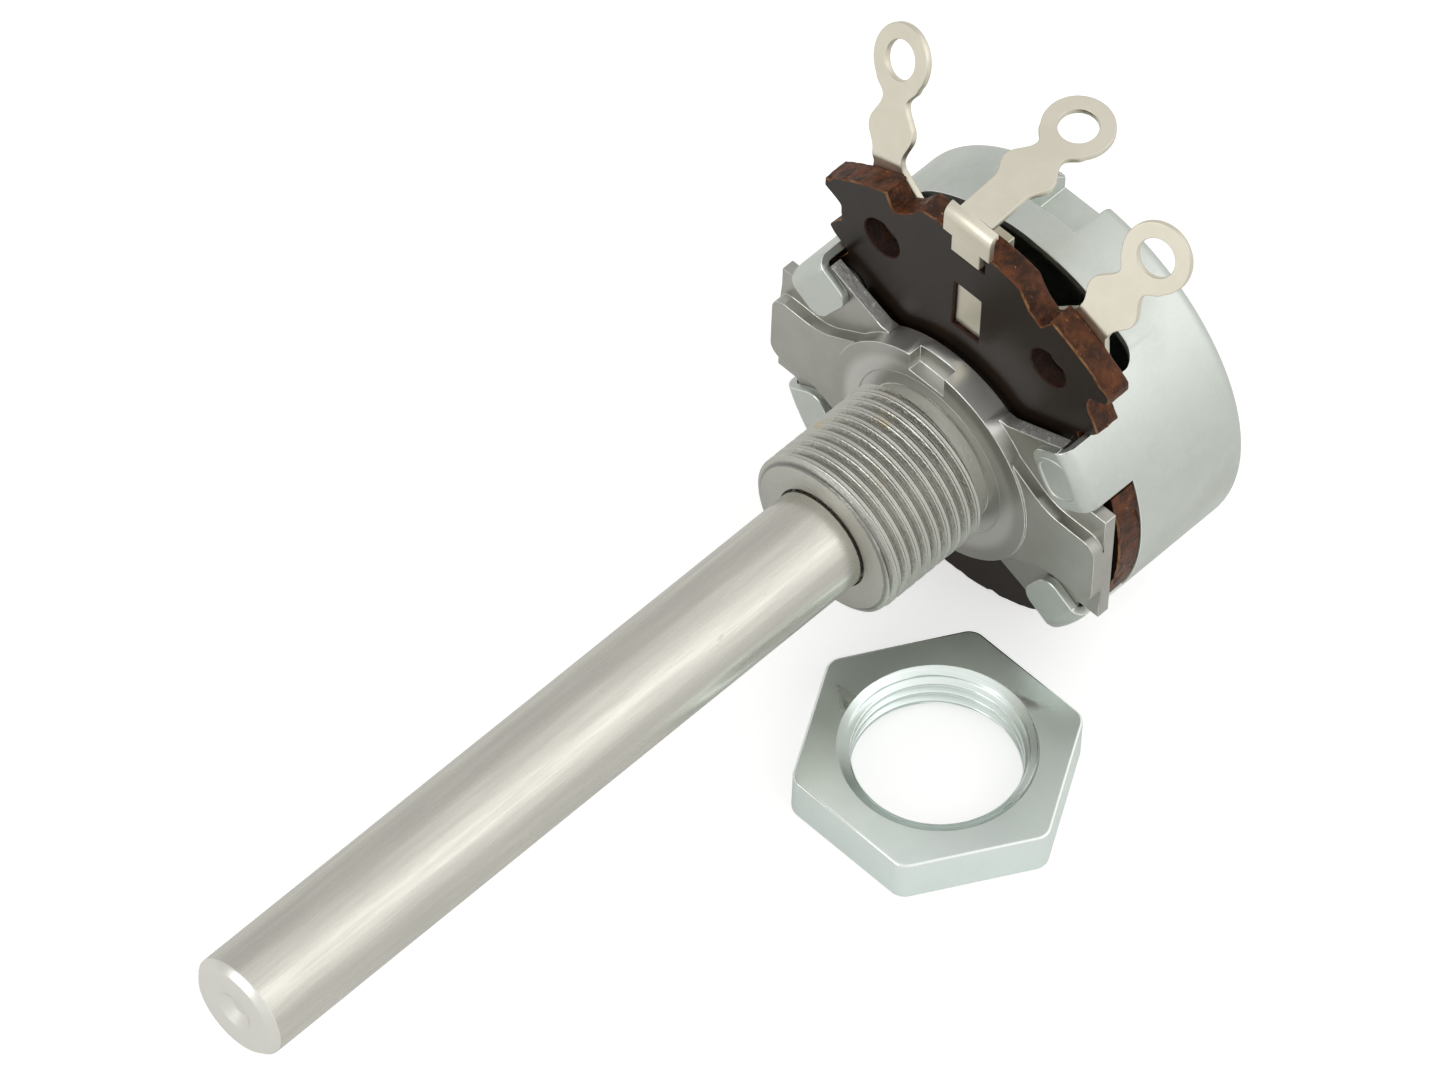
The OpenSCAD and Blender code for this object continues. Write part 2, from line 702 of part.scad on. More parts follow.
// A carbon button that wears on the surface given, with a shank in the wiper spring
module brush(radius, surface) {
    slab(surface + running_gap, wiper_front) brushPlace(radius) circle(brush_d / 2);
    slab(wiper_front, rotor_front) brushPlace(radius) circle(shank_d / 2);
}

module track_brush() color("#242322") brush(track_middle_r, wafer_rear + track_t);

module collector_brush() color("#242322") brush(collector_middle_r, wafer_rear + collector_t);

// A plate whose arm is bent rearwards at its end, to meet the stop in the cover
module stop_plate() color("#9fa29f") {
    slab(rotor_rear, stop_plate_rear) difference() {
        union() {
            circle(stop_hub_r);
            translate([-stop_arm_width / 2, -stop_reach]) square([stop_arm_width, stop_reach]);
        }
        tenonOutline(seat_clearance);
    }
    slab(rotor_rear, cover_rear - cover_wall - stop_end_gap)
        translate([-stop_arm_width / 2, -stop_reach]) square([stop_arm_width, stop_plate_t]);
}

// The cover

module coverEnvelope() {
    turned() roundedProfile(cover_r, wafer_rear, cover_rear, cover_edge);
}

module strapOutline(angle, width) {
    inner = width / 2 - strap_corner;
    rotate(angle) {
        translate([strap_tip + strap_corner, -width / 2]) square([cover_r, width]);
        translate([strap_tip, -inner]) square([cover_r, 2 * inner]);
        for (side = [-1, 1]) translate([strap_tip + strap_corner, side * inner]) circle(strap_corner);
    }
}

// The sheet of a strap, round the whole rim: the wall runs forwards and folds inwards
module strapSheet() {
    rotate([90, 0, 0]) rotate_extrude() difference() {
        roundedProfile(cover_r, -wafer_rear, -strap_front, strap_fold);
        translate([0, -cut]) roundedProfile(cover_inner_r, -wafer_rear, cut - ledge_drop,
            strap_fold - cover_wall);
    }
}

module topMouth() {
    half = mouth_width / 2;
    deep = wafer_rear + mouth_depth;
    translate([0, 0, cut]) linear_extrude(cover_r) {
        translate([-half, 0]) square([mouth_width, deep - mouth_corner]);
        translate([mouth_corner - half, 0]) square([mouth_width - 2 * mouth_corner, deep]);
        for (side = [-1, 1]) translate([side * (half - mouth_corner), deep - mouth_corner])
            circle(mouth_corner);
    }
}

module cover() color("#bfc3bd") {
    stop_front = cover_rear - stop_length;
    difference() {
        union() {
            difference() {
                coverEnvelope();
                turned() roundedProfile(cover_inner_r, wafer_rear - cut, cover_rear - cover_wall,
                    cover_edge - cover_wall);
                topMouth();
            }
            intersection() {
                coverEnvelope();
                translate([stop_x - stop_width / 2 - cover_wall, stop_front - cover_wall,
                    stop_floor - cover_wall])
                    cube([stop_width + 2 * cover_wall, stop_length + cover_wall + cut, cover_r]);
            }
        }
        translate([stop_x - stop_width / 2, stop_front, stop_floor])
            cube([stop_width, stop_length + cut, cover_r]);
    }
    intersection() {
        strapSheet();
        slab(strap_front - cut, wafer_rear) bothSides() {
            strapOutline(strap_angle, strap_width);
            strapOutline(-strap_angle, lower_strap_width);
        }
    }
}

// The nut, taken off and lying flat at the level of the cover's lowest point
module nut() color("#c3c6c6") translate([nut_x, -nut_y, -cover_r]) {
    edge = (nut_corners - nut_face_d) / 2 * tan(30);
    sink = (nut_mouth_d - nut_core_d) / 2 * tan(30);
    core_r = nut_core_d / 2;
    mouth_r = nut_mouth_d / 2;
    difference() {
        intersection() {
            cylinder(h = nut_thickness, r = nut_flats / 2 / cos(30), $fn = 6);
            rotate_extrude() polygon([[0, 0], [nut_face_d / 2, 0], [nut_corners / 2, edge],
                [nut_corners / 2, nut_thickness - edge], [nut_face_d / 2, nut_thickness],
                [0, nut_thickness]]);
        }
        rotate_extrude() polygon([[0, -cut], [mouth_r, -cut], [mouth_r, 0], [core_r, sink],
            [core_r, nut_thickness - sink], [mouth_r, nut_thickness], [mouth_r, nut_thickness + cut],
            [0, nut_thickness + cut]]);
    }
}

bushing_plate();
shaft();
thrust_washer();
spring_washer();
retaining_ring();
wafer();
resistive_track();
collector_ring();
left_terminal();
middle_terminal();
right_terminal();
rotor();
wiper_spring();
wiper_rivets();
track_brush();
collector_brush();
stop_plate();
cover();
nut();
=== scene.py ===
import math

import bmesh
import bpy
from mathutils import Matrix, Vector, noise


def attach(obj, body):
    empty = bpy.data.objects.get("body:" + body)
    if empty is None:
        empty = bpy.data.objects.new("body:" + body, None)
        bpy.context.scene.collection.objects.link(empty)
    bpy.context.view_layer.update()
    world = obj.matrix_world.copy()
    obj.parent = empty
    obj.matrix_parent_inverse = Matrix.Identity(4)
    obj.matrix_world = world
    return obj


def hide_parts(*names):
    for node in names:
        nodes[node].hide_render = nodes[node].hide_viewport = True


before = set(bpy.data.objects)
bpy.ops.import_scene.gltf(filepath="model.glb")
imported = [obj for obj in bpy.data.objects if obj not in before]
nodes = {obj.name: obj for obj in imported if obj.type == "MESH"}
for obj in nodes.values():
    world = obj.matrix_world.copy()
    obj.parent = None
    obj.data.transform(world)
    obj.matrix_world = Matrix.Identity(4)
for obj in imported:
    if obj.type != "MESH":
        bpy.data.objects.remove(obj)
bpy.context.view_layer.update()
mm = 0.001

# Camera, floor and light. Places are in mm from the middle of the mounting face.

cameraSettings = {
    "place": (250.32, -288.07, 505.16),
    "right": (0.71260, 0.70113, 0.02493),
    "up": (-0.57385, 0.56207, 0.59563),
    "back": (0.40360, -0.43875, 0.80287),
    "lens": 299.9,
    "sensor": 36.0,
}

studioSettings = {
    "floorHeight": -11.955,           # just below what rests on it
    "floorSize": 2400,
    "floorColour": (0.72, 0.72, 0.71),
    "floorRoughness": 0.9,
    "floorShine": 0.1,
    "floorLight": 0.08,               # a faint light table
    "floorGlow": 0.46,                # extra white that only the camera sees
    "skyShade": 0.66,                 # brightness on the dim side
    "skyStep": 0.22,                  # what the bright side adds
    "stepAngle": 27.0,                # where the bright side begins, from the zenith
    "stepEdge": (-0.04, 0.06),        # its soft edge
    "skyLobe": 0.22,                  # what the soft lamp in the sky adds
    "lobeTowards": (0.635, 0.44, 0.635),
    "lobeReach": (0.58, 1.0),
    "keyPlace": (560, 400, 560),
    "keySize": (540, 540),
    "keyPower": 0.34,
    "frontPlace": (-180, -700, 330),
    "frontSize": (500, 400),
    "frontPower": 1.0,
}


def makeCamera(values):
    data = bpy.data.cameras.new("photoCamera")
    data.lens = values["lens"]
    data.sensor_width = values["sensor"]
    data.clip_start = 0.01
    data.clip_end = 20.0
    camera = bpy.data.objects.new("photoCamera", data)
    axes = [Vector(values[name]).normalized() for name in ("right", "up", "back")]
    turn = Matrix(axes).transposed().to_4x4()
    camera.matrix_world = Matrix.Translation(Vector(values["place"]) * mm) @ turn
    bpy.context.scene.collection.objects.link(camera)
    bpy.context.scene.camera = camera


def addNode(tree, kind, inputs=None, **settings):
    node = tree.nodes.new(kind)
    for name, value in settings.items():
        setattr(node, name, value)
    for name, value in (inputs or {}).items():
        socket = node.inputs[name]
        if isinstance(value, bpy.types.NodeSocket):
            tree.links.new(value, socket)
        else:
            socket.default_value = value
    return node


def doMath(tree, operation, first, second=0.0):
    return addNode(tree, "ShaderNodeMath", {0: first, 1: second}, operation=operation).outputs[0]


def doRange(tree, value, fromMin, fromMax, toMin=0.0, toMax=1.0):
    return addNode(tree, "ShaderNodeMapRange", {"Value": value, "From Min": fromMin,
                   "From Max": fromMax, "To Min": toMin, "To Max": toMax},
                   interpolation_type="SMOOTHSTEP").outputs[0]


def makeFloor(values):
    bm = bmesh.new()
    bmesh.ops.create_grid(bm, x_segments=1, y_segments=1, size=values["floorSize"] / 2 * mm)
    bmesh.ops.translate(bm, verts=bm.verts, vec=(0, 0, values["floorHeight"] * mm))
    mesh = bpy.data.meshes.new("studioFloor")
    bm.to_mesh(mesh)
    bm.free()
    floor = bpy.data.objects.new("studioFloor", mesh)
    bpy.context.scene.collection.objects.link(floor)
    material = bpy.data.materials.new("floorPaper")
    material.use_nodes = True
    tree = material.node_tree
    shader = tree.nodes["Principled BSDF"]
    shader.inputs["Base Color"].default_value = (*values["floorColour"], 1)
    shader.inputs["Roughness"].default_value = values["floorRoughness"]
    shader.inputs["Specular IOR Level"].default_value = values["floorShine"]
    shader.inputs["Emission Color"].default_value = (1, 1, 1, 1)
    path = tree.nodes.new("ShaderNodeLightPath")
    seen = doMath(tree, "MULTIPLY", path.outputs["Is Camera Ray"], values["floorGlow"])
    tree.links.new(doMath(tree, "ADD", seen, values["floorLight"]), shader.inputs["Emission Strength"])
    mesh.materials.append(material)


def makeLamp(name, place, size, power):
    data = bpy.data.lights.new(name, "AREA")
    data.shape = "RECTANGLE"
    data.size, data.size_y = size[0] * mm, size[1] * mm
    data.energy = power
    lamp = bpy.data.objects.new(name, data)
    lamp.rotation_mode = "QUATERNION"
    lamp.rotation_quaternion = (-Vector(place)).to_track_quat("-Z", "Y")
    lamp.location = Vector(place) * mm
    bpy.context.scene.collection.objects.link(lamp)


def makeSky(values):
    # a dim side, a brighter side that begins at a soft edge, and one broad lamp in it
    world = bpy.data.worlds.new("studioSky")
    world.use_nodes = True
    bpy.context.scene.world = world
    tree = world.node_tree
    aim = tree.nodes.new("ShaderNodeTexCoord").outputs["Generated"]
    step = math.radians(values["stepAngle"])
    side = addNode(tree, "ShaderNodeVectorMath", {0: aim, 1: (math.cos(step), 0, math.sin(step))},
                   operation="DOT_PRODUCT").outputs["Value"]
    near = addNode(tree, "ShaderNodeVectorMath", {0: aim, 1: values["lobeTowards"]},
                   operation="DOT_PRODUCT").outputs["Value"]
    shade = values["skyShade"]
    bright = doRange(tree, side, *values["stepEdge"], shade, shade + values["skyStep"])
    lobe = doRange(tree, near, *values["lobeReach"], 0.0, values["skyLobe"])
    tree.links.new(doMath(tree, "ADD", bright, lobe), tree.nodes["Background"].inputs["Strength"])
    tree.nodes["Background"].inputs["Color"].default_value = (1.0, 0.995, 0.98, 1)


makeCamera(cameraSettings)
makeFloor(studioSettings)
makeSky(studioSettings)
for lampName in ("key", "front"):
    place, size, power = (studioSettings[lampName + part] for part in ("Place", "Size", "Power"))
    makeLamp(lampName + "Lamp", place, size, power)
bpy.context.scene.view_settings.view_transform = "Standard"
print("camera, floor and light made")

# Node groups that the materials share


def mixColours(tree, factor, first, second):
    node = tree.nodes.new("ShaderNodeMix")
    node.data_type = "RGBA"
    for index, value in ((0, factor), (6, first), (7, second)):
        if isinstance(value, bpy.types.NodeSocket):
            tree.links.new(value, node.inputs[index])
        else:
            node.inputs[index].default_value = value if index == 0 else (*value, 1)
    return node.outputs[2]


def startGroup(name, inputs, outputs):
    group = bpy.data.node_groups.new(name, "ShaderNodeTree")
    for label, kind, value in inputs:
        socket = group.interface.new_socket(label, in_out="INPUT", socket_type="NodeSocket" + kind)
        if value is not None:
            socket.default_value = value
    for label in outputs:
        group.interface.new_socket(label, in_out="OUTPUT", socket_type="NodeSocketFloat")
    into = group.nodes.new("NodeGroupInput").outputs
    out = group.nodes.new("NodeGroupOutput").inputs
    return group, into, out


def useGroup(tree, group, **inputs):
    node = tree.nodes.new("ShaderNodeGroup")
    node.node_tree = group
    for name, value in inputs.items():
        if isinstance(value, bpy.types.NodeSocket):
            tree.links.new(value, node.inputs[name])
        else:
            node.inputs[name].default_value = value
    return node.outputs


def buildMottle():
    # soft patches: a noise whose middle values are spread to 0 and 1
    group, into, out = startGroup("mottle", [("Place", "Vector", None), ("Scale", "Float", 1.0),
                                             ("Detail", "Float", 5.0), ("Low", "Float", 0.35),
                                             ("High", "Float", 0.65)], ["Mask", "Height"])
    field = addNode(group, "ShaderNodeTexNoise", {"Vector": into["Place"], "Scale": into["Scale"],
                    "Detail": into["Detail"], "Roughness": 0.6}).outputs["Fac"]
    group.links.new(doRange(group, field, into["Low"], into["High"]), out["Mask"])
    group.links.new(field, out["Height"])
    return group


def buildLengthGrain():
    # fine lines along one direction: the place is squeezed along it before the noise is read
    group, into, out = startGroup("lengthGrain", [("Place", "Vector", None),
                                                  ("Squeeze", "Vector", (1, 0.1, 1)),
                                                  ("Scale", "Float", 6.0),
                                                  ("Contrast", "Float", 0.25)], ["Mask", "Height"])
    squeezed = addNode(group, "ShaderNodeVectorMath", {0: into["Place"], 1: into["Squeeze"]},
                       operation="MULTIPLY").outputs[0]
    field = addNode(group, "ShaderNodeTexNoise", {"Vector": squeezed, "Scale": into["Scale"],
                    "Detail": 8.0, "Roughness": 0.7}).outputs["Fac"]
    low = doMath(group, "SUBTRACT", 0.5, into["Contrast"])
    high = doMath(group, "ADD", 0.5, into["Contrast"])
    group.links.new(doRange(group, field, low, high), out["Mask"])
    group.links.new(field, out["Height"])
    return group


def buildEdgeWearAndSheen():
    # the attribute is one on the rounded edges, and a noise breaks it up; the mask carries edge wear
    # and a painted highlight on the edges
    group, into, out = startGroup("edgeWearAndSheen", [("Edge", "Float", 0.0), ("Place", "Vector", None),
                                               ("Scale", "Float", 2.0), ("Breakup", "Float", 0.4)],
                                  ["Mask"])
    field = addNode(group, "ShaderNodeTexNoise", {"Vector": into["Place"], "Scale": into["Scale"],
                    "Detail": 4.0}).outputs["Fac"]
    reach = doMath(group, "SUBTRACT", into["Edge"], doMath(group, "MULTIPLY", field, into["Breakup"]))
    group.links.new(doRange(group, reach, 0.0, 0.5), out["Mask"])
    return group


def buildSpots():
    # rare small spots, where a noise passes a limit
    group, into, out = startGroup("spots", [("Place", "Vector", None), ("Scale", "Float", 1.0),
                                            ("Rarity", "Float", 0.68), ("Softness", "Float", 0.06)],
                                  ["Mask"])
    field = addNode(group, "ShaderNodeTexNoise", {"Vector": into["Place"], "Scale": into["Scale"],
                    "Detail": 3.0, "Roughness": 0.55}).outputs["Fac"]
    high = doMath(group, "ADD", into["Rarity"], into["Softness"])
    group.links.new(doRange(group, field, into["Rarity"], high), out["Mask"])
    return group


mottle = buildMottle()
lengthGrain = buildLengthGrain()
edgeWearAndSheen = buildEdgeWearAndSheen()
spots = buildSpots()

# Materials


def startMaterial(name, metallic, roughness):
    material = bpy.data.materials.new(name)
    material.use_nodes = True
    tree = material.node_tree
    shader = tree.nodes["Principled BSDF"]
    shader.inputs["Metallic"].default_value = metallic
    shader.inputs["Roughness"].default_value = roughness
    coords = tree.nodes.new("ShaderNodeTexCoord")
    place = addNode(tree, "ShaderNodeMapping", {"Vector": coords.outputs["Object"],
                    "Scale": (1 / mm, 1 / mm, 1 / mm)}).outputs[0]  # patterns count in millimetres
    return material, tree, shader, place


def faceNormal(tree):
    return tree.nodes.new("ShaderNodeTexCoord").outputs["Normal"]


def edgeMask(tree):
    return addNode(tree, "ShaderNodeAttribute", attribute_name="edge").outputs["Fac"]


def wearAndSheenMask(tree, place, scale, breakup):
    return useGroup(tree, edgeWearAndSheen, Edge=edgeMask(tree), Place=place, Scale=scale,
                    Breakup=breakup)["Mask"]


def addBump(tree, shader, height, distance):
    bump = addNode(tree, "ShaderNodeBump", {"Height": height, "Distance": distance * mm})
    tree.links.new(bump.outputs[0], shader.inputs["Normal"])


def feed(tree, shader, colour, roughness):
    tree.links.new(colour, shader.inputs["Base Color"])
    tree.links.new(roughness, shader.inputs["Roughness"])


def tint(tree, mask, share, colour, added):
    # mixes in a colour where the mask is, at the share given
    return mixColours(tree, doMath(tree, "MULTIPLY", mask, share), colour, added)


def polishEdges(tree, roughness, wearAndSheen, polished):
    # rubbed edges are smoother than what lies beside them
    kept = doMath(tree, "MULTIPLY", roughness, doMath(tree, "SUBTRACT", 1.0, wearAndSheen))
    return doMath(tree, "ADD", kept, doMath(tree, "MULTIPLY", wearAndSheen, polished))


def pickAxis(tree, vector, axis):
    return addNode(tree, "ShaderNodeSeparateXYZ", {0: vector}).outputs[axis]


def axisRadius(tree, place):
    flat = addNode(tree, "ShaderNodeVectorMath", {0: place, 1: (1, 0, 1)},
                   operation="MULTIPLY").outputs[0]
    return addNode(tree, "ShaderNodeVectorMath", {0: flat}, operation="LENGTH").outputs["Value"]


# In these dictionaries a scale is in features per mm, and a pair is where a mask begins and is full.

castZincLook = {
    "dull": (0.42, 0.415, 0.38),
    "clean": (0.47, 0.465, 0.43),
    "collar": (0.66, 0.655, 0.62),     # the turned collar, its own finish lightened in part as a painted reflection
    "rim": (0.90, 0.90, 0.87),         # the collar's rim where it faces up, painted near white as a highlight
    "top": (0.72, 0.72, 0.70),         # rough upper edges
    # the rubbed edges, lightened further as a painted highlight on them
    "edge": (0.88, 0.88, 0.86),
    "stain": (0.50, 0.33, 0.12),
    "patchScale": 0.25,
    "fineScale": 4.5,
    "fineShare": 0.05,
    "upwardFacing": (0.6, 0.95),
    "topHeights": (5.3, 5.6),
    "topShare": 0.6,
    "collarRadii": (6.5, 5.8),
    "earRadii": (7.4, 8.0),
    "sparkScale": 4.0,
    "sparkRarity": 0.59,
    "wearAndSheenScale": 2.4,
    "wearAndSheenBreakup": 1.0,
    "stainScale": 0.5,
    "stainShare": 0.3,
    "roughness": 0.34,
    "unevenness": 0.03,                # of the roughness
    "collarRoughness": 0.42,
    "topRoughness": 0.55,
    "edgeRoughness": 0.12,
    "grainScale": 3.4,
    "grain": 0.0006,
    "topGrain": 0.05,
}


def makeCastZinc(look):
    material, tree, shader, place = startMaterial("castZinc", 1.0, look["roughness"])
    patches = useGroup(tree, mottle, Place=place, Scale=look["patchScale"],
                       Detail=2.0, Low=0.3, High=0.72)["Mask"]
    fine = useGroup(tree, mottle, Place=place, Scale=look["fineScale"],
                    Detail=8.0, Low=0.3, High=0.72)["Mask"]
    colour = mixColours(tree, patches, look["dull"], look["clean"])
    colour = tint(tree, fine, look["fineShare"], colour, look["edge"])
    upward = doRange(tree, pickAxis(tree, faceNormal(tree), "Z"), *look["upwardFacing"])
    high = doRange(tree, pickAxis(tree, place, "Z"), *look["topHeights"])
    upward = doMath(tree, "MULTIPLY", upward, high)
    colour = tint(tree, upward, look["topShare"], colour, look["top"])
    radius = axisRadius(tree, place)
    turned = doRange(tree, radius, *look["collarRadii"])
    ears = doRange(tree, radius, *look["earRadii"])
    # painted highlight: the upward faces of the collar's rim, inside the ears, are lightened
    rim = doMath(tree, "MULTIPLY", upward, doMath(tree, "SUBTRACT", 1.0, ears))
    colour = mixColours(tree, rim, colour, look["rim"])
    upward = doMath(tree, "MULTIPLY", upward, ears)
    # the turned collar: its own finish, lightened in part as a painted reflection
    colour = mixColours(tree, turned, colour, look["collar"])
    sparks = useGroup(tree, spots, Place=place, Scale=look["sparkScale"], Rarity=look["sparkRarity"],
                      Softness=0.04)["Mask"]
    colour = tint(tree, sparks, upward, colour, look["edge"])
    # edge wear, with a painted highlight on the rounded edges
    wearAndSheen = wearAndSheenMask(tree, place, look["wearAndSheenScale"], look["wearAndSheenBreakup"])
    colour = mixColours(tree, wearAndSheen, colour, look["edge"])
    stain = useGroup(tree, spots, Place=place, Scale=look["stainScale"], Rarity=0.72)["Mask"]
    colour = tint(tree, stain, look["stainShare"], colour, look["stain"])
    satin = doRange(tree, turned, 0.0, 1.0, look["roughness"], look["collarRoughness"])
    uneven = doRange(tree, patches, 0.0, 1.0, look["unevenness"], -look["unevenness"])
    satin = polishEdges(tree, doMath(tree, "ADD", satin, uneven), upward, look["topRoughness"])
    feed(tree, shader, colour, polishEdges(tree, satin, wearAndSheen, look["edgeRoughness"]))
    rough = doRange(tree, upward, 0.0, 1.0, look["grain"], look["topGrain"])
    coarse = useGroup(tree, mottle, Place=place, Scale=look["grainScale"], Detail=6.0)["Height"]
    addBump(tree, shader, doMath(tree, "MULTIPLY", coarse, rough), 1.0)
    return material


threadLook = {
    # root is a painted shade: the thread darkens towards its groove roots
    "root": (0.27, 0.265, 0.245),
    "flank": (0.55, 0.545, 0.50),
    "turned": (0.56, 0.555, 0.51),     # the flat front
    # a painted highlight on the crest lips
    "crest": (0.95, 0.95, 0.92),
    "stain": (0.60, 0.47, 0.22),
    "wobble": 0.10,                    # how far the colours stray from their radii
    "wobbleScale": 2.2,
    "rootRadii": (4.64, 4.82),
    "crestRadii": (4.955, 4.985),
    "crestEdge": (0.5, 0.9),
    "turnedRadii": (4.60, 4.52),
    "stainScale": 0.42,
    "stainRarity": 0.64,
    "stainShare": 0.55,
    "roughness": 0.22,
    "turnedRoughness": 0.42,
    "grainScale": 4.0,
    "grain": 0.045,
}


def makeThreadZinc(look):
    material, tree, shader, place = startMaterial("threadZinc", 1.0, look["roughness"])
    wobble = useGroup(tree, mottle, Place=place, Scale=look["wobbleScale"],
                      Detail=6.0, Low=0.3, High=0.7)["Height"]
    wobble = doMath(tree, "MULTIPLY", wobble, look["wobble"])
    reach = doMath(tree, "ADD", axisRadius(tree, place), wobble)
    # painted shade: darker towards the groove roots, lighter on the flanks
    colour = mixColours(tree, doRange(tree, reach, *look["rootRadii"]), look["root"], look["flank"])
    # painted highlight on the crest lips, where the crest points are marked
    wearAndSheen = doMath(tree, "MULTIPLY", doRange(tree, reach, *look["crestRadii"]),
                  doRange(tree, edgeMask(tree), *look["crestEdge"]))
    colour = mixColours(tree, wearAndSheen, colour, look["crest"])
    stain = useGroup(tree, spots, Place=place, Scale=look["stainScale"], Rarity=look["stainRarity"],
                     Softness=0.10)["Mask"]
    colour = tint(tree, stain, look["stainShare"], colour, look["stain"])
    turned = doRange(tree, reach, *look["turnedRadii"])
    colour = mixColours(tree, turned, colour, look["turned"])
    satin = doRange(tree, turned, 0.0, 1.0, look["roughness"], look["turnedRoughness"])
    feed(tree, shader, colour, satin)
    grain = useGroup(tree, mottle, Place=place, Scale=look["grainScale"], Detail=6.0)["Height"]
    addBump(tree, shader, grain, look["grain"])
    return material


shaftLook = {
    "light": (0.70, 0.685, 0.62),
    "dull": (0.585, 0.575, 0.525),
    "scratch": (0.40, 0.395, 0.365),
    # the rubbed edges, lightened further as a painted highlight on them
    "edge": (0.93, 0.92, 0.88),
    "faced": (0.82, 0.81, 0.76),       # the turned end
    "lineSqueeze": (1, 0.045, 1),
    "lineScale": 2.4,
    "fineSqueeze": (1, 0.10, 1),
    "fineScale": 8.0,
    "fineShare": 0.05,
    "patchScale": 0.28,
    "patchShare": 0.25,
    "nickScale": 1.1,
    "nickRarity": 0.73,
    "nickShare": 0.35,
    "wearAndSheenScale": 2.5,
    "wearAndSheenBreakup": 0.3,
    "wearAndSheenShare": 0.7,
    "endFacing": (0.3, 0.6),
    "facedRoughness": 0.30,
    "roughness": 0.27,
    "rougher": 0.08,                   # between the lines
    "smoother": 0.05,                  # on them
    "grain": 0.004,
}


def makeShaftAluminium(look):
    material, tree, shader, place = startMaterial("shaftAluminium", 1.0, look["roughness"])
    lines = useGroup(tree, lengthGrain, Place=place, Squeeze=look["lineSqueeze"],
                     Scale=look["lineScale"], Contrast=0.24)
    fine = useGroup(tree, lengthGrain, Place=place, Squeeze=look["fineSqueeze"],
                    Scale=look["fineScale"], Contrast=0.12)
    patches = useGroup(tree, mottle, Place=place, Scale=look["patchScale"],
                       Detail=5.0, Low=0.38, High=0.68)["Mask"]
    colour = mixColours(tree, lines["Mask"], look["dull"], look["light"])
    colour = tint(tree, patches, look["patchShare"], colour, look["dull"])
    colour = tint(tree, fine["Mask"], look["fineShare"], colour, look["scratch"])
    nick = useGroup(tree, spots, Place=place, Scale=look["nickScale"], Rarity=look["nickRarity"],
                    Softness=0.03)["Mask"]
    colour = tint(tree, nick, look["nickShare"], colour, look["scratch"])
    # edge wear, with a painted highlight on the rounded edges
    wearAndSheen = wearAndSheenMask(tree, place, look["wearAndSheenScale"], look["wearAndSheenBreakup"])
    colour = tint(tree, wearAndSheen, look["wearAndSheenShare"], colour, look["edge"])
    tilt = doMath(tree, "ABSOLUTE", pickAxis(tree, faceNormal(tree), "Y"))
    faced = doRange(tree, tilt, *look["endFacing"])
    colour = mixColours(tree, faced, colour, look["faced"])
    satin = doRange(tree, lines["Height"], 0.3, 0.7, look["roughness"] + look["rougher"],
                    look["roughness"] - look["smoother"])
    feed(tree, shader, colour, polishEdges(tree, satin, faced, look["facedRoughness"]))
    brushed = doMath(tree, "ADD", lines["Height"], fine["Height"])
    brushed = doMath(tree, "MULTIPLY", brushed, doMath(tree, "SUBTRACT", 1.0, faced))
    addBump(tree, shader, brushed, look["grain"])
    return material


boardLook = {
    "face": (0.015, 0.0095, 0.0065),
    "faceWarm": (0.024, 0.013, 0.008),
    "cut": (0.150, 0.048, 0.016),
    "cutDark": (0.042, 0.016, 0.008),
    "chip": (0.55, 0.27, 0.10),
    "flatFacing": (0.75, 0.95),
    "warmScale": 0.14,
    "layerScale": 1.3,
    "patchScale": 0.9,
    "patchShare": 0.45,
    "wearAndSheenScale": 1.3,
    "wearAndSheenBreakup": 1.60,
    "wearAndSheenShare": 0.45,
    "sliverSqueeze": (0.8, 1.5, 0.8),
    "sliverScale": 2.6,
    "sliverRarity": (0.63, 0.66),
    "chipShare": 0.75,
    "faceRoughness": 0.28,
    "cutRoughness": 0.40,
    "tearScale": 2.8,
    "cutTear": 0.22,                   # depth of the cut edge's relief in mm
    "faceTear": 0.006,
    "shine": 0.22,
}

# the walls of the board's holes: a darker copy of the cut edge, as painted shade inside the holes
holeShadeLook = dict(boardLook, cut=(0.045, 0.014, 0.007), cutDark=(0.015, 0.007, 0.005),
                chip=(0.07, 0.03, 0.014))


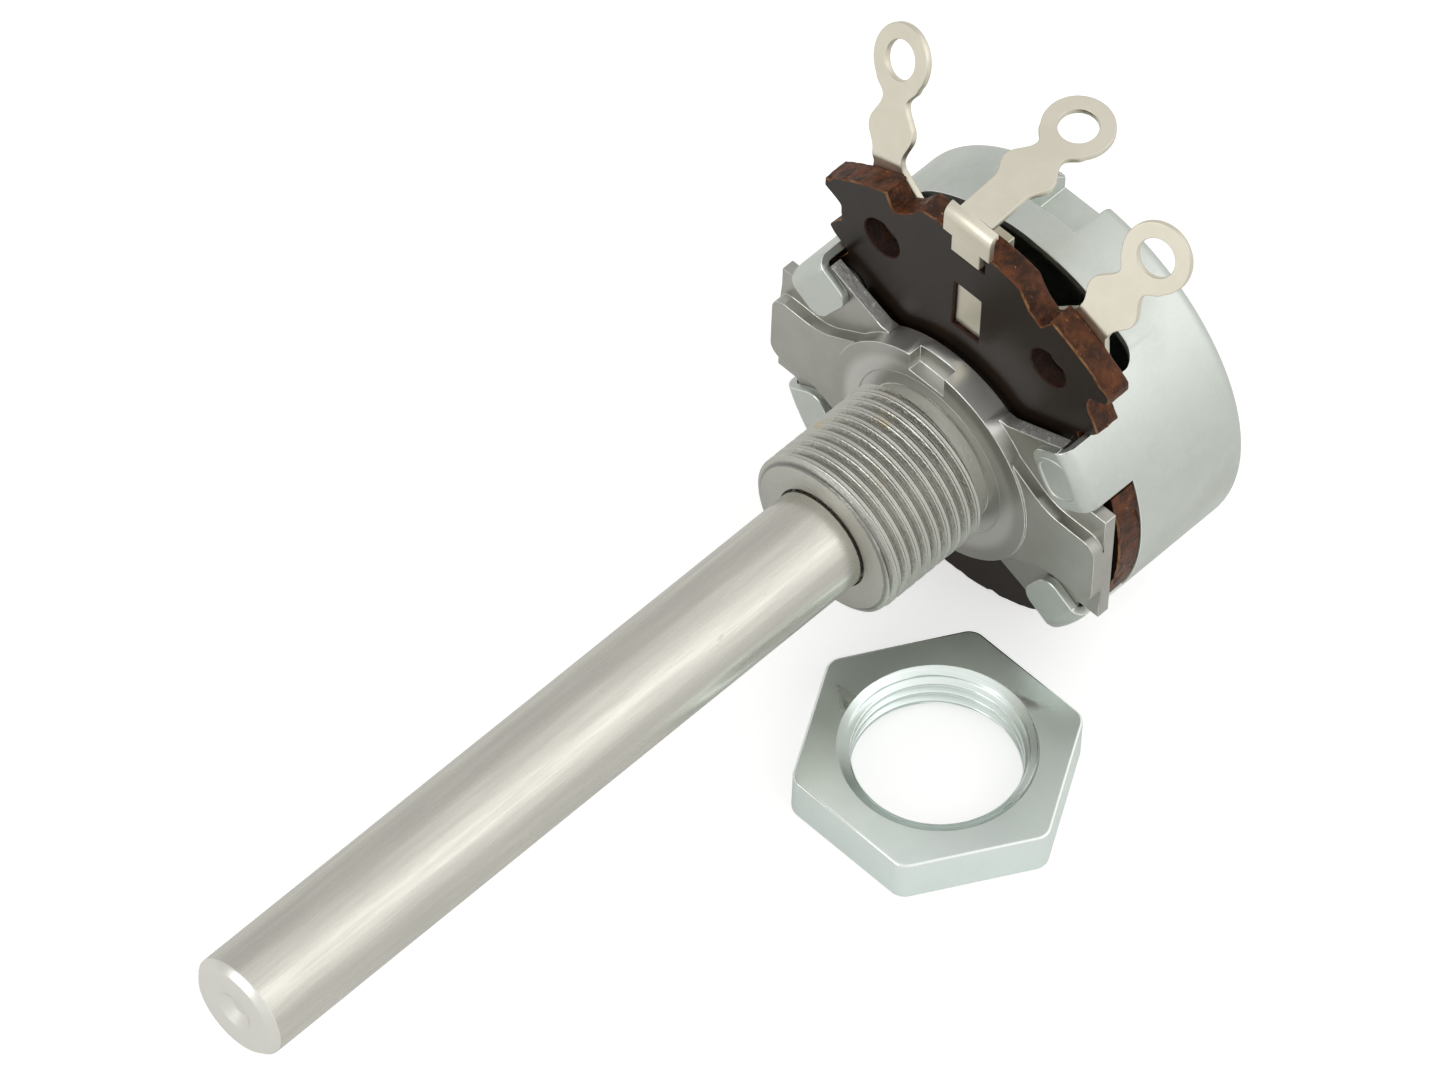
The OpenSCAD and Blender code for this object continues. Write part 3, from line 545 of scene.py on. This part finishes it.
def makePhenolicBoard(look, name):
    material, tree, shader, place = startMaterial(name, 0.0, look["faceRoughness"])
    shader.inputs["Specular IOR Level"].default_value = look["shine"]
    tilt = doMath(tree, "ABSOLUTE", pickAxis(tree, faceNormal(tree), "Y"))
    flatness = doRange(tree, tilt, *look["flatFacing"])
    warm = useGroup(tree, mottle, Place=place, Scale=look["warmScale"],
                    Detail=2.0, Low=0.46, High=0.70)["Mask"]
    face = mixColours(tree, warm, look["face"], look["faceWarm"])
    layers = useGroup(tree, mottle, Place=place, Scale=look["layerScale"],
                      Detail=5.0, Low=0.36, High=0.66)["Mask"]
    patches = useGroup(tree, mottle, Place=place, Scale=look["patchScale"],
                       Detail=6.0, Low=0.42, High=0.66)["Mask"]
    cut = mixColours(tree, layers, look["cutDark"], look["cut"])
    cut = tint(tree, patches, look["patchShare"], cut, look["cutDark"])
    wearAndSheen = wearAndSheenMask(tree, place, look["wearAndSheenScale"], look["wearAndSheenBreakup"])
    cut = tint(tree, wearAndSheen, look["wearAndSheenShare"], cut, look["chip"])
    slivers = useGroup(tree, lengthGrain, Place=place, Squeeze=look["sliverSqueeze"],
                       Scale=look["sliverScale"], Contrast=0.5)["Height"]
    slivers = doRange(tree, slivers, *look["sliverRarity"])
    cut = tint(tree, slivers, look["chipShare"], cut, look["chip"])
    colour = mixColours(tree, flatness, cut, face)
    satin = doRange(tree, flatness, 0.0, 1.0, look["cutRoughness"], look["faceRoughness"])
    feed(tree, shader, colour, satin)
    torn = useGroup(tree, mottle, Place=place, Scale=look["tearScale"], Detail=8.0)["Height"]
    depth = doRange(tree, flatness, 0.0, 1.0, look["cutTear"], look["faceTear"])
    addBump(tree, shader, doMath(tree, "MULTIPLY", torn, depth), 1.0)
    return material


tagLook = {
    "tin": (0.82, 0.78, 0.66),
    "dull": (0.77, 0.73, 0.615),
    "edge": (0.56, 0.53, 0.46),        # the cut edges have no tin
    "patchScale": 0.45,
    "wearAndSheenScale": 2.0,
    "wearAndSheenBreakup": 0.4,
    "wearAndSheenShare": 0.6,
    "roughness": 0.40,
    "unevenness": 0.05,
    "edgeRoughness": 0.34,
    "dentScale": 1.2,
    "grain": 0.008,
}


def makeTinnedBrass(look):
    material, tree, shader, place = startMaterial("tinnedBrass", 1.0, look["roughness"])
    patches = useGroup(tree, mottle, Place=place, Scale=look["patchScale"],
                       Detail=4.0, Low=0.35, High=0.7)
    colour = mixColours(tree, patches["Mask"], look["tin"], look["dull"])
    wearAndSheen = wearAndSheenMask(tree, place, look["wearAndSheenScale"], look["wearAndSheenBreakup"])
    colour = tint(tree, wearAndSheen, look["wearAndSheenShare"], colour, look["edge"])
    satin = doRange(tree, patches["Height"], 0.3, 0.7, look["roughness"] - look["unevenness"],
                    look["roughness"] + look["unevenness"])
    feed(tree, shader, colour, polishEdges(tree, satin, wearAndSheen, look["edgeRoughness"]))
    dents = useGroup(tree, mottle, Place=place, Scale=look["dentScale"], Detail=5.0)["Height"]
    addBump(tree, shader, dents, look["grain"])
    return material


sheetLook = {
    "sheet": (0.66, 0.70, 0.66),
    "dull": (0.60, 0.635, 0.595),
    # the rubbed edges, lightened further as a painted highlight on them
    "edge": (0.90, 0.92, 0.90),
    "patchScale": 0.16,
    "fineScale": 5.0,
    "fineShare": 0.10,
    "wearAndSheenScale": 2.0,
    "wearAndSheenBreakup": 0.5,
    "wearAndSheenShare": 0.8,
    "roughness": 0.46,
    "smoother": 0.02,
    "rougher": 0.04,
    "edgeRoughness": 0.16,
    "grain": 0.0015,
}

# in these copies too the edge colour is rubbed edges and a painted highlight
nutLook = dict(sheetLook, sheet=(0.88, 0.97, 0.94), dull=(0.83, 0.91, 0.88), edge=(0.94, 0.97, 0.95),
               roughness=0.30, edgeRoughness=0.12, grain=0.0008)
steelLook = dict(sheetLook, sheet=(0.46, 0.465, 0.46), dull=(0.36, 0.365, 0.36),
                 edge=(0.70, 0.70, 0.69), roughness=0.38, edgeRoughness=0.2, grain=0.003)
bronzeLook = dict(sheetLook, sheet=(0.62, 0.40, 0.20), dull=(0.48, 0.30, 0.15), edge=(0.80, 0.60, 0.36),
                  roughness=0.30, edgeRoughness=0.2, grain=0.002)


def makeZincSheet(look, name):
    material, tree, shader, place = startMaterial(name, 1.0, look["roughness"])
    patches = useGroup(tree, mottle, Place=place, Scale=look["patchScale"],
                       Detail=4.0, Low=0.35, High=0.7)["Mask"]
    fine = useGroup(tree, mottle, Place=place, Scale=look["fineScale"],
                    Detail=5.0, Low=0.3, High=0.72)
    colour = mixColours(tree, patches, look["sheet"], look["dull"])
    colour = tint(tree, fine["Mask"], look["fineShare"], colour, look["edge"])
    # edge wear, with a painted highlight on the rounded edges
    wearAndSheen = wearAndSheenMask(tree, place, look["wearAndSheenScale"], look["wearAndSheenBreakup"])
    colour = tint(tree, wearAndSheen, look["wearAndSheenShare"], colour, look["edge"])
    satin = doRange(tree, patches, 0.0, 1.0, look["roughness"] - look["smoother"],
                    look["roughness"] + look["rougher"])
    feed(tree, shader, colour, polishEdges(tree, satin, wearAndSheen, look["edgeRoughness"]))
    addBump(tree, shader, fine["Height"], look["grain"])
    return material


carbonLook = {
    "first": (0.020, 0.020, 0.020),
    "second": (0.035, 0.034, 0.033),
    "patchScale": 1.4,
    "roughness": 0.55,
    "smoother": 0.06,
    "rougher": 0.10,
    "grain": 0.02,
}

resinLook = dict(carbonLook, first=(0.055, 0.028, 0.014), second=(0.090, 0.045, 0.022), roughness=0.42)


def makeDarkResin(look, name):
    material, tree, shader, place = startMaterial(name, 0.0, look["roughness"])
    patches = useGroup(tree, mottle, Place=place, Scale=look["patchScale"],
                       Detail=7.0, Low=0.35, High=0.65)
    satin = doRange(tree, patches["Height"], 0.3, 0.7, look["roughness"] - look["smoother"],
                    look["roughness"] + look["rougher"])
    feed(tree, shader, mixColours(tree, patches["Mask"], look["first"], look["second"]), satin)
    addBump(tree, shader, patches["Height"], look["grain"])
    return material


castZinc = makeCastZinc(castZincLook)
threadZinc = makeThreadZinc(threadLook)
shaftAluminium = makeShaftAluminium(shaftLook)
phenolicBoard = makePhenolicBoard(boardLook, "phenolicBoard")
boardHolesShaded = makePhenolicBoard(holeShadeLook, "boardHolesShaded")
tinnedBrass = makeTinnedBrass(tagLook)
zincSheet = makeZincSheet(sheetLook, "zincSheet")
nutZinc = makeZincSheet(nutLook, "nutZinc")
washerSteel = makeZincSheet(steelLook, "washerSteel")
springBronze = makeZincSheet(bronzeLook, "springBronze")
carbonBlack = makeDarkResin(carbonLook, "carbonBlack")
rotorResin = makeDarkResin(resinLook, "rotorResin")
print("materials made")

# Mesh helpers

meshSettings = {
    "weld": 0.001,          # points nearer than this are one
    "weldTurns": 0.002,     # the same for the steps of a thread
    "onPlane": 0.0001,
    "near": 0.01,
    "facing": 0.999,        # of a normal that looks along an axis
    "short": 0.03,          # shorter edges of a refined piece go
    "flatAngle": 0.4,       # faces that bend less are joined
    "softAngle": 28.0,      # edges that bend more are rounded
    "sharpAngle": 38,       # edges that bend more are shaded sharp
    "shadingWeight": 60,
    "capBorder": 0.02,      # width of the ring inside a filled face
}


def weldedCopy(nodeName, shortest=meshSettings["weld"]):
    bm = bmesh.new()
    bm.from_mesh(nodes[nodeName].data)
    bmesh.ops.remove_doubles(bm, verts=bm.verts, dist=meshSettings["weld"] * mm)
    bmesh.ops.dissolve_degenerate(bm, edges=bm.edges, dist=shortest * mm)
    bmesh.ops.dissolve_limit(bm, angle_limit=math.radians(meshSettings["flatAngle"]),
                             verts=bm.verts, edges=bm.edges)
    return bm


def ofKind(items, kind):
    return [item for item in items if isinstance(item, kind)]


def frontFaces(bm, station):
    return [face for face in bm.faces if face.normal.y < -meshSettings["facing"]
            and abs(face.calc_center_median().y / mm - station) < meshSettings["near"]]


def edgeLayer(bm):
    return bm.verts.layers.float.get("edge") or bm.verts.layers.float.new("edge")


def softenEdges(bm, width, segments=2, angle=meshSettings["softAngle"]):
    # the points inside the rounding are marked, for the wear and the painted edge highlights in the
    # materials
    layer = edgeLayer(bm)
    sharp = [edge for edge in bm.edges
             if edge.is_manifold and edge.calc_face_angle(0.0) > math.radians(angle)]
    made = bmesh.ops.bevel(bm, geom=sharp, offset=width * mm, offset_type="OFFSET", affect="EDGES",
                           segments=segments, profile=0.5, material=-1, clamp_overlap=False)
    rounded = set(made["faces"])
    for face in rounded:
        for vert in face.verts:
            if all(near in rounded for near in vert.link_faces):
                vert[layer] = 1.0


def makePiece(name, bm, materials, body, replaced=(), weighted=True,
              sharpness=meshSettings["sharpAngle"]):
    mesh = bpy.data.meshes.new(name)
    bm.to_mesh(mesh)
    bm.free()
    for material in materials:
        mesh.materials.append(material)
    mesh.polygons.foreach_set("use_smooth", [True] * len(mesh.polygons))
    mesh.set_sharp_from_angle(angle=math.radians(sharpness))
    piece = bpy.data.objects.new(name, mesh)
    bpy.context.scene.collection.objects.link(piece)
    if replaced:
        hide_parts(*replaced)
    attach(piece, body)
    if weighted:
        shading = piece.modifiers.new("cleanShading", "WEIGHTED_NORMAL")
        shading.keep_sharp = True
        shading.weight = meshSettings["shadingWeight"]


def closeUp(bm):
    bmesh.ops.recalc_face_normals(bm, faces=bm.faces)
    return bm


def refinedPiece(nodeName, pieceName, width, materials, body):
    bm = weldedCopy(nodeName, meshSettings["short"])
    softenEdges(bm, width)
    makePiece(pieceName, closeUp(bm), materials, body, (nodeName,))


def capRims(bm, rims, aim):
    # fills a flat face between its open rims; the narrow border keeps its shading flat
    made = bmesh.ops.triangle_fill(bm, edges=rims, use_beauty=True, use_dissolve=False, normal=aim)
    cap = ofKind(made["geom"], bmesh.types.BMFace)
    bmesh.ops.inset_region(bm, faces=cap, thickness=meshSettings["capBorder"] * mm)


def loopAt(bm, axis, station):
    # the open edges that lie at a place on an axis
    return [edge for edge in bm.edges if edge.is_boundary
            and all(abs(vert.co[axis] / mm - station) < meshSettings["weld"] for vert in edge.verts)]


def extrudeLoop(bm, edges, radius=None, station=None):
    # carries an open loop on, to a radius about the Y axis and a station on it
    made = bmesh.ops.extrude_edge_only(bm, edges=edges)["geom"]
    for vert in ofKind(made, bmesh.types.BMVert):
        if radius is not None:
            stretch = radius * mm / math.hypot(vert.co.x, vert.co.z)
            vert.co.x *= stretch
            vert.co.z *= stretch
        if station is not None:
            vert.co.y = station * mm
    return ofKind(made, bmesh.types.BMEdge)


def cutAway(bm, station, side):
    # removes what lies beyond a station, on the side given
    bmesh.ops.bisect_plane(bm, geom=bm.verts[:] + bm.edges[:] + bm.faces[:],
                           dist=meshSettings["onPlane"] * mm, plane_co=(0, station * mm, 0),
                           plane_no=(0, side, 0), clear_outer=True)


# Bushing with its thread

# A rolled thread: (share of the pitch, share of the depth) from one groove to the next
ridgeShape = ((0.0, 0.0), (0.06, 0.03), (0.14, 0.22), (0.27, 0.78), (0.305, 0.94), (0.34, 1.0),
              (0.38, 0.98), (0.44, 0.84), (0.50, 0.80), (0.56, 0.84), (0.62, 0.98), (0.66, 1.0),
              (0.695, 0.94), (0.73, 0.78), (0.86, 0.22), (0.94, 0.03), (1.0, 0.0))

bushingSizes = {
    "pitch": 0.75,
    "crest": 4.945,
    "root": 4.60,
    "front": -8.095,
    "phase": -6.77,         # a crest's station at the top of the bushing
    "coneRadius": 4.50,     # the thread is cut off by a cone at the front edge
    "coneSlope": 1.6,
    "threadRear": -1.0,
    "relief": 4.30,
    "seam": -0.02,          # where the bushing meets the plate
    "mouth": 3.10,
    "bore": 3.03,
    "lead": 0.15,
    "steps": 96,
}


def windThread(bm, sizes, front, rear):
    # one ridge is spun round the Y axis and moved on by a pitch each turn
    pitch, steps = sizes["pitch"], sizes["steps"]
    start = sizes["phase"] - pitch / 2
    start -= math.ceil((start + pitch - front) / pitch) * pitch
    turns = math.ceil((rear - start) / pitch) + 1
    layer = edgeLayer(bm)
    verts = []
    for along, high in ridgeShape:
        radius = sizes["root"] + high * (sizes["crest"] - sizes["root"])
        vert = bm.verts.new((0, (start + along * pitch) * mm, radius * mm))
        # the crest points are marked for the painted highlight on the crests
        vert[layer] = 1.0 if high > 0.99 else 0.0
        verts.append(vert)
    edges = [bm.edges.new(pair) for pair in zip(verts, verts[1:])]
    bmesh.ops.spin(bm, geom=verts + edges, cent=(0, 0, 0), axis=(0, 1, 0),
                   dvec=(0, pitch / steps * mm, 0), angle=2 * math.pi * turns,
                   steps=steps * turns, use_merge=False, use_duplicate=False)
    bmesh.ops.remove_doubles(bm, verts=bm.verts, dist=meshSettings["weldTurns"] * mm)
    cutAway(bm, front, -1)
    cutAway(bm, rear, 1)


def clampRadius(bm, limitAt, inside):
    # holds each point inside, or outside, the radius that belongs to its station
    for vert in bm.verts:
        radius = math.hypot(vert.co.x, vert.co.z)
        limit = limitAt(vert.co.y / mm) * mm
        if (radius > limit) if inside else (radius < limit):
            vert.co.x *= limit / radius
            vert.co.z *= limit / radius


def makeBushing(sizes):
    bm = bmesh.new()
    windThread(bm, sizes, sizes["front"], sizes["threadRear"])
    clampRadius(bm, lambda y: sizes["coneRadius"] + (y - sizes["front"]) * sizes["coneSlope"], True)
    front = loopAt(bm, 1, sizes["front"])
    rear = loopAt(bm, 1, sizes["threadRear"])
    front = extrudeLoop(bm, front, radius=sizes["mouth"])
    front = extrudeLoop(bm, front, radius=sizes["bore"], station=sizes["front"] + sizes["lead"])
    front = extrudeLoop(bm, front, station=sizes["seam"])
    rear = extrudeLoop(bm, rear, radius=sizes["relief"])
    rear = extrudeLoop(bm, rear, station=sizes["seam"])
    bmesh.ops.bridge_loops(bm, edges=front + rear)
    return closeUp(bm)


plateSizes = {"seam": bushingSizes["seam"], "soft": 0.055}


def makePlate(sizes):
    bm = weldedCopy("bushing_plate")
    cutAway(bm, sizes["seam"], -1)
    bmesh.ops.bridge_loops(bm, edges=[edge for edge in bm.edges if edge.is_boundary])
    softenEdges(bm, sizes["soft"])
    return closeUp(bm)


makePiece("threaded_bushing", makeBushing(bushingSizes), [threadZinc], "housing",
          weighted=False)
makePiece("cast_plate", makePlate(plateSizes), [castZinc], "housing",
          ("bushing_plate",))
print("bushing and plate made")

# Shaft

shaftSizes = {
    "tip": -51.0,
    "faceRadius": 2.6,      # of the flat end inside its chamfer
    "dimple": 1.2,          # radius of the centre mark
    "slope": 0.6,           # width of its sloping side
    "dimpleDepth": 0.5,
    "soft": 0.06,
    "softAngle": 20.0,
}


def makeShaft(sizes):
    bm = weldedCopy("shaft")
    tips = frontFaces(bm, sizes["tip"])
    bmesh.ops.inset_region(bm, faces=tips, thickness=(sizes["faceRadius"] - sizes["dimple"]) * mm,
                           use_even_offset=True)
    bmesh.ops.inset_region(bm, faces=tips, thickness=sizes["slope"] * mm,
                           depth=-sizes["dimpleDepth"] * mm, use_even_offset=True)
    softenEdges(bm, sizes["soft"], angle=sizes["softAngle"])
    return closeUp(bm)


makePiece("turned_shaft", makeShaft(shaftSizes), [shaftAluminium], "shaft_assembly",
          ("shaft",))
print("shaft made")

# Board

boardSizes = {
    "front": 2.1,
    "rear": 3.7,
    "corner": 0.5,          # rounding of the outline's corners
    "cornerAngle": 20,
    "cornerSteps": 4,
    "spacing": 0.28,        # of the points along the rim
    "longest": 1.5,         # an edge of more spacings is divided
    "layers": (0.07, 0.3, 0.55, 0.8, 1.05, 1.3, 1.52, 1.6),
    "inset": 0.06,          # of the rim at the two faces
    "tear": 0.11,           # depth of the torn rim
    "chip": 0.24,           # depth of a chip
    "depthStretch": 1.3,
    "lumpScale": 1.9,
    "lumpShare": 0.7,
    "grainScale": 4.3,
    "grainShare": 0.5,
    "chipScale": 1.05,
    "chipRarity": 0.20,
    "chipSlope": 1.6,
    "sharpAngle": 24,
    "seed": (7.0, 3.0, 1.0),
}


def boundaryLoops(bm):
    left = {edge for edge in bm.edges if edge.is_boundary}
    loops = []
    while left:
        loop, ahead = [], [left.pop()]
        while ahead:
            edge = ahead.pop()
            loop.append(edge)
            for vert in edge.verts:
                for near in vert.link_edges:
                    if near in left:
                        left.discard(near)
                        ahead.append(near)
        loops.append(loop)
    return loops


def outwardAims(loop):
    # the in-plane direction out of the sheet at each point of an open loop
    aims = {}
    for edge in loop:
        corner = edge.link_loops[0]
        along = corner.link_loop_next.vert.co - corner.vert.co
        side = along.cross(edge.link_faces[0].normal).normalized()
        for vert in edge.verts:
            aims[vert] = aims.get(vert, Vector()) + side
    return {vert: aim.normalized() for vert, aim in aims.items()}


def roundOutline(bm, loop, sizes):
    corners = []
    for vert in {vert for edge in loop for vert in edge.verts}:
        first, second = [edge for edge in vert.link_edges if edge.is_boundary]
        bend = (first.other_vert(vert).co - vert.co).angle(vert.co - second.other_vert(vert).co)
        if bend > math.radians(sizes["cornerAngle"]):
            corners.append(vert)
    bmesh.ops.bevel(bm, geom=corners, offset=sizes["corner"] * mm, offset_type="OFFSET",
                    affect="VERTICES", segments=sizes["cornerSteps"], profile=0.5, material=-1,
                    clamp_overlap=True)


def tornDepth(place, depth, sizes):
    # how far the rim is torn back: lumps, a finer grain, and a few deep chips
    spot = Vector((place.x / mm, depth * sizes["depthStretch"], place.z / mm))
    lumps = noise.noise(spot * sizes["lumpScale"]) * 0.5 + 0.5
    grain = noise.noise(spot * sizes["grainScale"]) * 0.5 + 0.5
    chip = noise.noise(spot * sizes["chipScale"] + Vector(sizes["seed"])) - sizes["chipRarity"]
    chip = min(max(chip, 0.0) * sizes["chipSlope"], 1.0)
    torn = lumps * sizes["lumpShare"] + grain * sizes["grainShare"]
    return torn * sizes["tear"] + chip * sizes["chip"]


def carryRing(bm, edges, walls=0):
    # a new ring beside an open one, with the old point that each new point came from
    made = bmesh.ops.extrude_edge_only(bm, edges=edges)["geom"]
    for face in ofKind(made, bmesh.types.BMFace):
        face.material_index = walls
    fresh = ofKind(made, bmesh.types.BMVert)
    known = set(fresh)
    origins = {}
    for vert in fresh:
        origins[vert] = next(edge.other_vert(vert) for edge in vert.link_edges
                             if edge.other_vert(vert) not in known)
    return ofKind(made, bmesh.types.BMEdge), origins


def outerLoop(loops):
    return max(loops, key=lambda loop: max(vert.co.length for edge in loop for vert in edge.verts))


def makeBoard(sizes):
    # the open edges of the front face are carried back in layers, and both faces are filled anew
    bm = weldedCopy("wafer")
    front = set(frontFaces(bm, sizes["front"]))
    bmesh.ops.delete(bm, geom=[face for face in bm.faces if face not in front], context="FACES")
    roundOutline(bm, outerLoop(boundaryLoops(bm)), sizes)
    longest = sizes["spacing"] * sizes["longest"] * mm
    for edge in [edge for edge in bm.edges if edge.is_boundary and edge.calc_length() > longest]:
        cuts = int(edge.calc_length() / mm / sizes["spacing"])
        bmesh.ops.subdivide_edges(bm, edges=[edge], cuts=cuts)
    layer = edgeLayer(bm)
    faces = bm.faces[:]
    loops = boundaryLoops(bm)
    outer = outerLoop(loops)
    first, last = sizes["layers"][0], sizes["layers"][-1]
    for loop in loops:
        torn = loop is outer
        # the holes' walls take the second material, darkened as painted shade
        walls = 0 if torn else 1
        columns = {vert: (vert.co.copy(), aim) for vert, aim in outwardAims(loop).items()}
        roots = {vert: vert for vert in columns}
        for vert, (place, aim) in columns.items():
            inset = sizes["inset"] + (tornDepth(place, 0.0, sizes) if torn else 0.0)
            vert.co = place - aim * inset * mm
            vert[layer] = 1.0
        ring = loop
        for depth in sizes["layers"]:
            ring, origins = carryRing(bm, ring, walls)
            roots = {vert: roots[origin] for vert, origin in origins.items()}
            for vert, root in roots.items():
                place, aim = columns[root]
                inset = sizes["inset"] if depth == last else 0.0
                inset += tornDepth(place, depth, sizes) if torn else 0.0
                vert.co = place - aim * inset * mm
                vert.co.y = (sizes["front"] + depth) * mm
                vert[layer] = 1.0 if depth in (first, last) else 0.0
    bmesh.ops.delete(bm, geom=faces, context="FACES_ONLY")
    bmesh.ops.delete(bm, geom=[edge for edge in bm.edges if not edge.link_faces], context="EDGES")
    for station in (sizes["front"], sizes["rear"]):
        capRims(bm, loopAt(bm, 1, station), (0, 1, 0))
    return closeUp(bm)


makePiece("phenolic_board", makeBoard(boardSizes), [phenolicBoard, boardHolesShaded], "housing",
          ("wafer",), weighted=False, sharpness=boardSizes["sharpAngle"])

# Tags and cover

tagSizes = {"soft": 0.05}
coverSizes = {"soft": 0.07}

for side in ("left", "middle", "right"):
    refinedPiece(side + "_terminal", side + "_tag", tagSizes["soft"], [tinnedBrass],
                 "housing")
refinedPiece("cover", "drawn_cover", coverSizes["soft"], [zincSheet], "housing")

# The staking mark on the upper right strap: a thin ridge, half sunk into the strap.
# Its path is in (distance from the axis, distance across the strap).
crimpSizes = {
    "angle": 31.6,          # of the strap, about the axis
    "face": 0.35,           # station of the strap's face
    "path": ((11.15, 1.00), (10.75, 1.22), (10.2, 1.33), (9.7, 1.30), (9.32, 1.12), (9.14, 0.80),
             (9.08, 0.3), (9.08, -0.3), (9.14, -0.78), (9.30, -1.08), (9.62, -1.26),
             (10.1, -1.32), (10.6, -1.30), (11.0, -1.18), (11.15, -0.95)),
    "width": 0.15,
    "height": 0.075,
    "taper": (0.15, 0.7, 1.0),
    "sides": 8,
}


def makeCrimp(sizes):
    bm = bmesh.new()
    made = bmesh.ops.create_circle(bm, cap_ends=True, segments=sizes["sides"], radius=1.0)
    shape = {vert: (vert.co.x, vert.co.y) for vert in made["verts"]}
    edges = bm.edges[:]
    turn = math.radians(sizes["angle"])
    out = Vector((math.cos(turn), 0, math.sin(turn)))
    side = Vector((-math.sin(turn), 0, math.cos(turn)))
    path = [out * far + side * across for far, across in sizes["path"]]
    last = len(path) - 1
    for index, spot in enumerate(path):
        if index > 0:
            edges, origins = carryRing(bm, edges)
            shape = {vert: shape[origin] for vert, origin in origins.items()}
        along = (path[min(index + 1, last)] - path[max(index - 1, 0)]).normalized()
        across = along.cross(Vector((0, 1, 0)))
        end = min(index, last - index)
        full = sizes["taper"][end] if end < len(sizes["taper"]) else 1.0
        for vert, (wide, high) in shape.items():
            vert.co = (spot + across * wide * sizes["width"] * full) * mm
            vert.co.y = (sizes["face"] - high * sizes["height"] * full) * mm
    bmesh.ops.edgeloop_fill(bm, edges=edges)
    return closeUp(bm)


makePiece("strap_crimp", makeCrimp(crimpSizes), [zincSheet], "housing", weighted=False)
print("board, tags and cover made")

# Nut

nutSizes = {
    "place": (9.42, -8.53),
    "low": -11.95,
    "high": -9.10,
    "flats": 14.0,
    "turn": 30,
    "corner": 0.53,         # rounding of the upright edges
    "cornerSteps": 6,
    "soft": 0.14,           # rounding of the two faces' edges
    "softSteps": 4,
    "softAngle": 60.0,
    "mouth": 5.38,          # of the countersunk ends
    "sink": 1.6,            # slope of the countersink
    "pitch": 0.75,
    "crest": 4.60,
    "root": 4.95,
    "phase": 0.2,
    "steps": 72,
}


def makeNut(sizes):
    half = (sizes["high"] - sizes["low"]) / 2
    bm = bmesh.new()
    corner = sizes["flats"] / 2 / math.cos(math.radians(30)) * mm  # a hexagon's, from its flats
    bmesh.ops.create_cone(bm, cap_ends=True, segments=6, radius1=corner, radius2=corner,
                          depth=half * 2 * mm)
    bmesh.ops.rotate(bm, verts=bm.verts, cent=(0, 0, 0),
                     matrix=Matrix.Rotation(math.radians(sizes["turn"]), 3, "Z"))
    upright = [edge for edge in bm.edges if abs(edge.verts[0].co.z - edge.verts[1].co.z) > half * mm]
    bmesh.ops.bevel(bm, geom=upright, offset=sizes["corner"] * mm, offset_type="OFFSET",
                    affect="EDGES", segments=sizes["cornerSteps"], profile=0.5, material=-1,
                    clamp_overlap=False)
    softenEdges(bm, sizes["soft"], sizes["softSteps"], sizes["softAngle"])
    caps = [face for face in bm.faces if abs(face.normal.z) > meshSettings["facing"]]
    bmesh.ops.delete(bm, geom=caps, context="FACES_ONLY")
    wound = bmesh.new()
    windThread(wound, sizes, -half, half)
    clampRadius(wound, lambda y: sizes["mouth"] - (half - abs(y)) * sizes["sink"], False)
    bmesh.ops.rotate(wound, verts=wound.verts, cent=(0, 0, 0),
                     matrix=Matrix.Rotation(math.radians(90), 3, "X"))
    mesh = bpy.data.meshes.new("nutThread")
    wound.to_mesh(mesh)
    wound.free()
    bm.from_mesh(mesh)
    bpy.data.meshes.remove(mesh)
    for height in (-half, half):
        capRims(bm, loopAt(bm, 2, height), (0, 0, 1))
    shift = Vector((sizes["place"][0], sizes["place"][1], (sizes["high"] + sizes["low"]) / 2)) * mm
    bmesh.ops.translate(bm, verts=bm.verts, vec=shift)
    return closeUp(bm)


makePiece("hexagon_nut", makeNut(nutSizes), [nutZinc], "housing", ("nut",))
print("nut made")

# Pieces inside

insideLooks = {
    "thrust_washer": washerSteel, "spring_washer": washerSteel, "retaining_ring": washerSteel,
    "resistive_track": carbonBlack, "collector_ring": tinnedBrass, "rotor": rotorResin,
    "wiper_spring": springBronze, "wiper_rivets": springBronze, "track_brush": carbonBlack,
    "collector_brush": carbonBlack, "stop_plate": washerSteel,
}
for nodeName, material in insideLooks.items():
    for holder in nodes[nodeName].material_slots:
        holder.material = material
print("inside pieces finished")
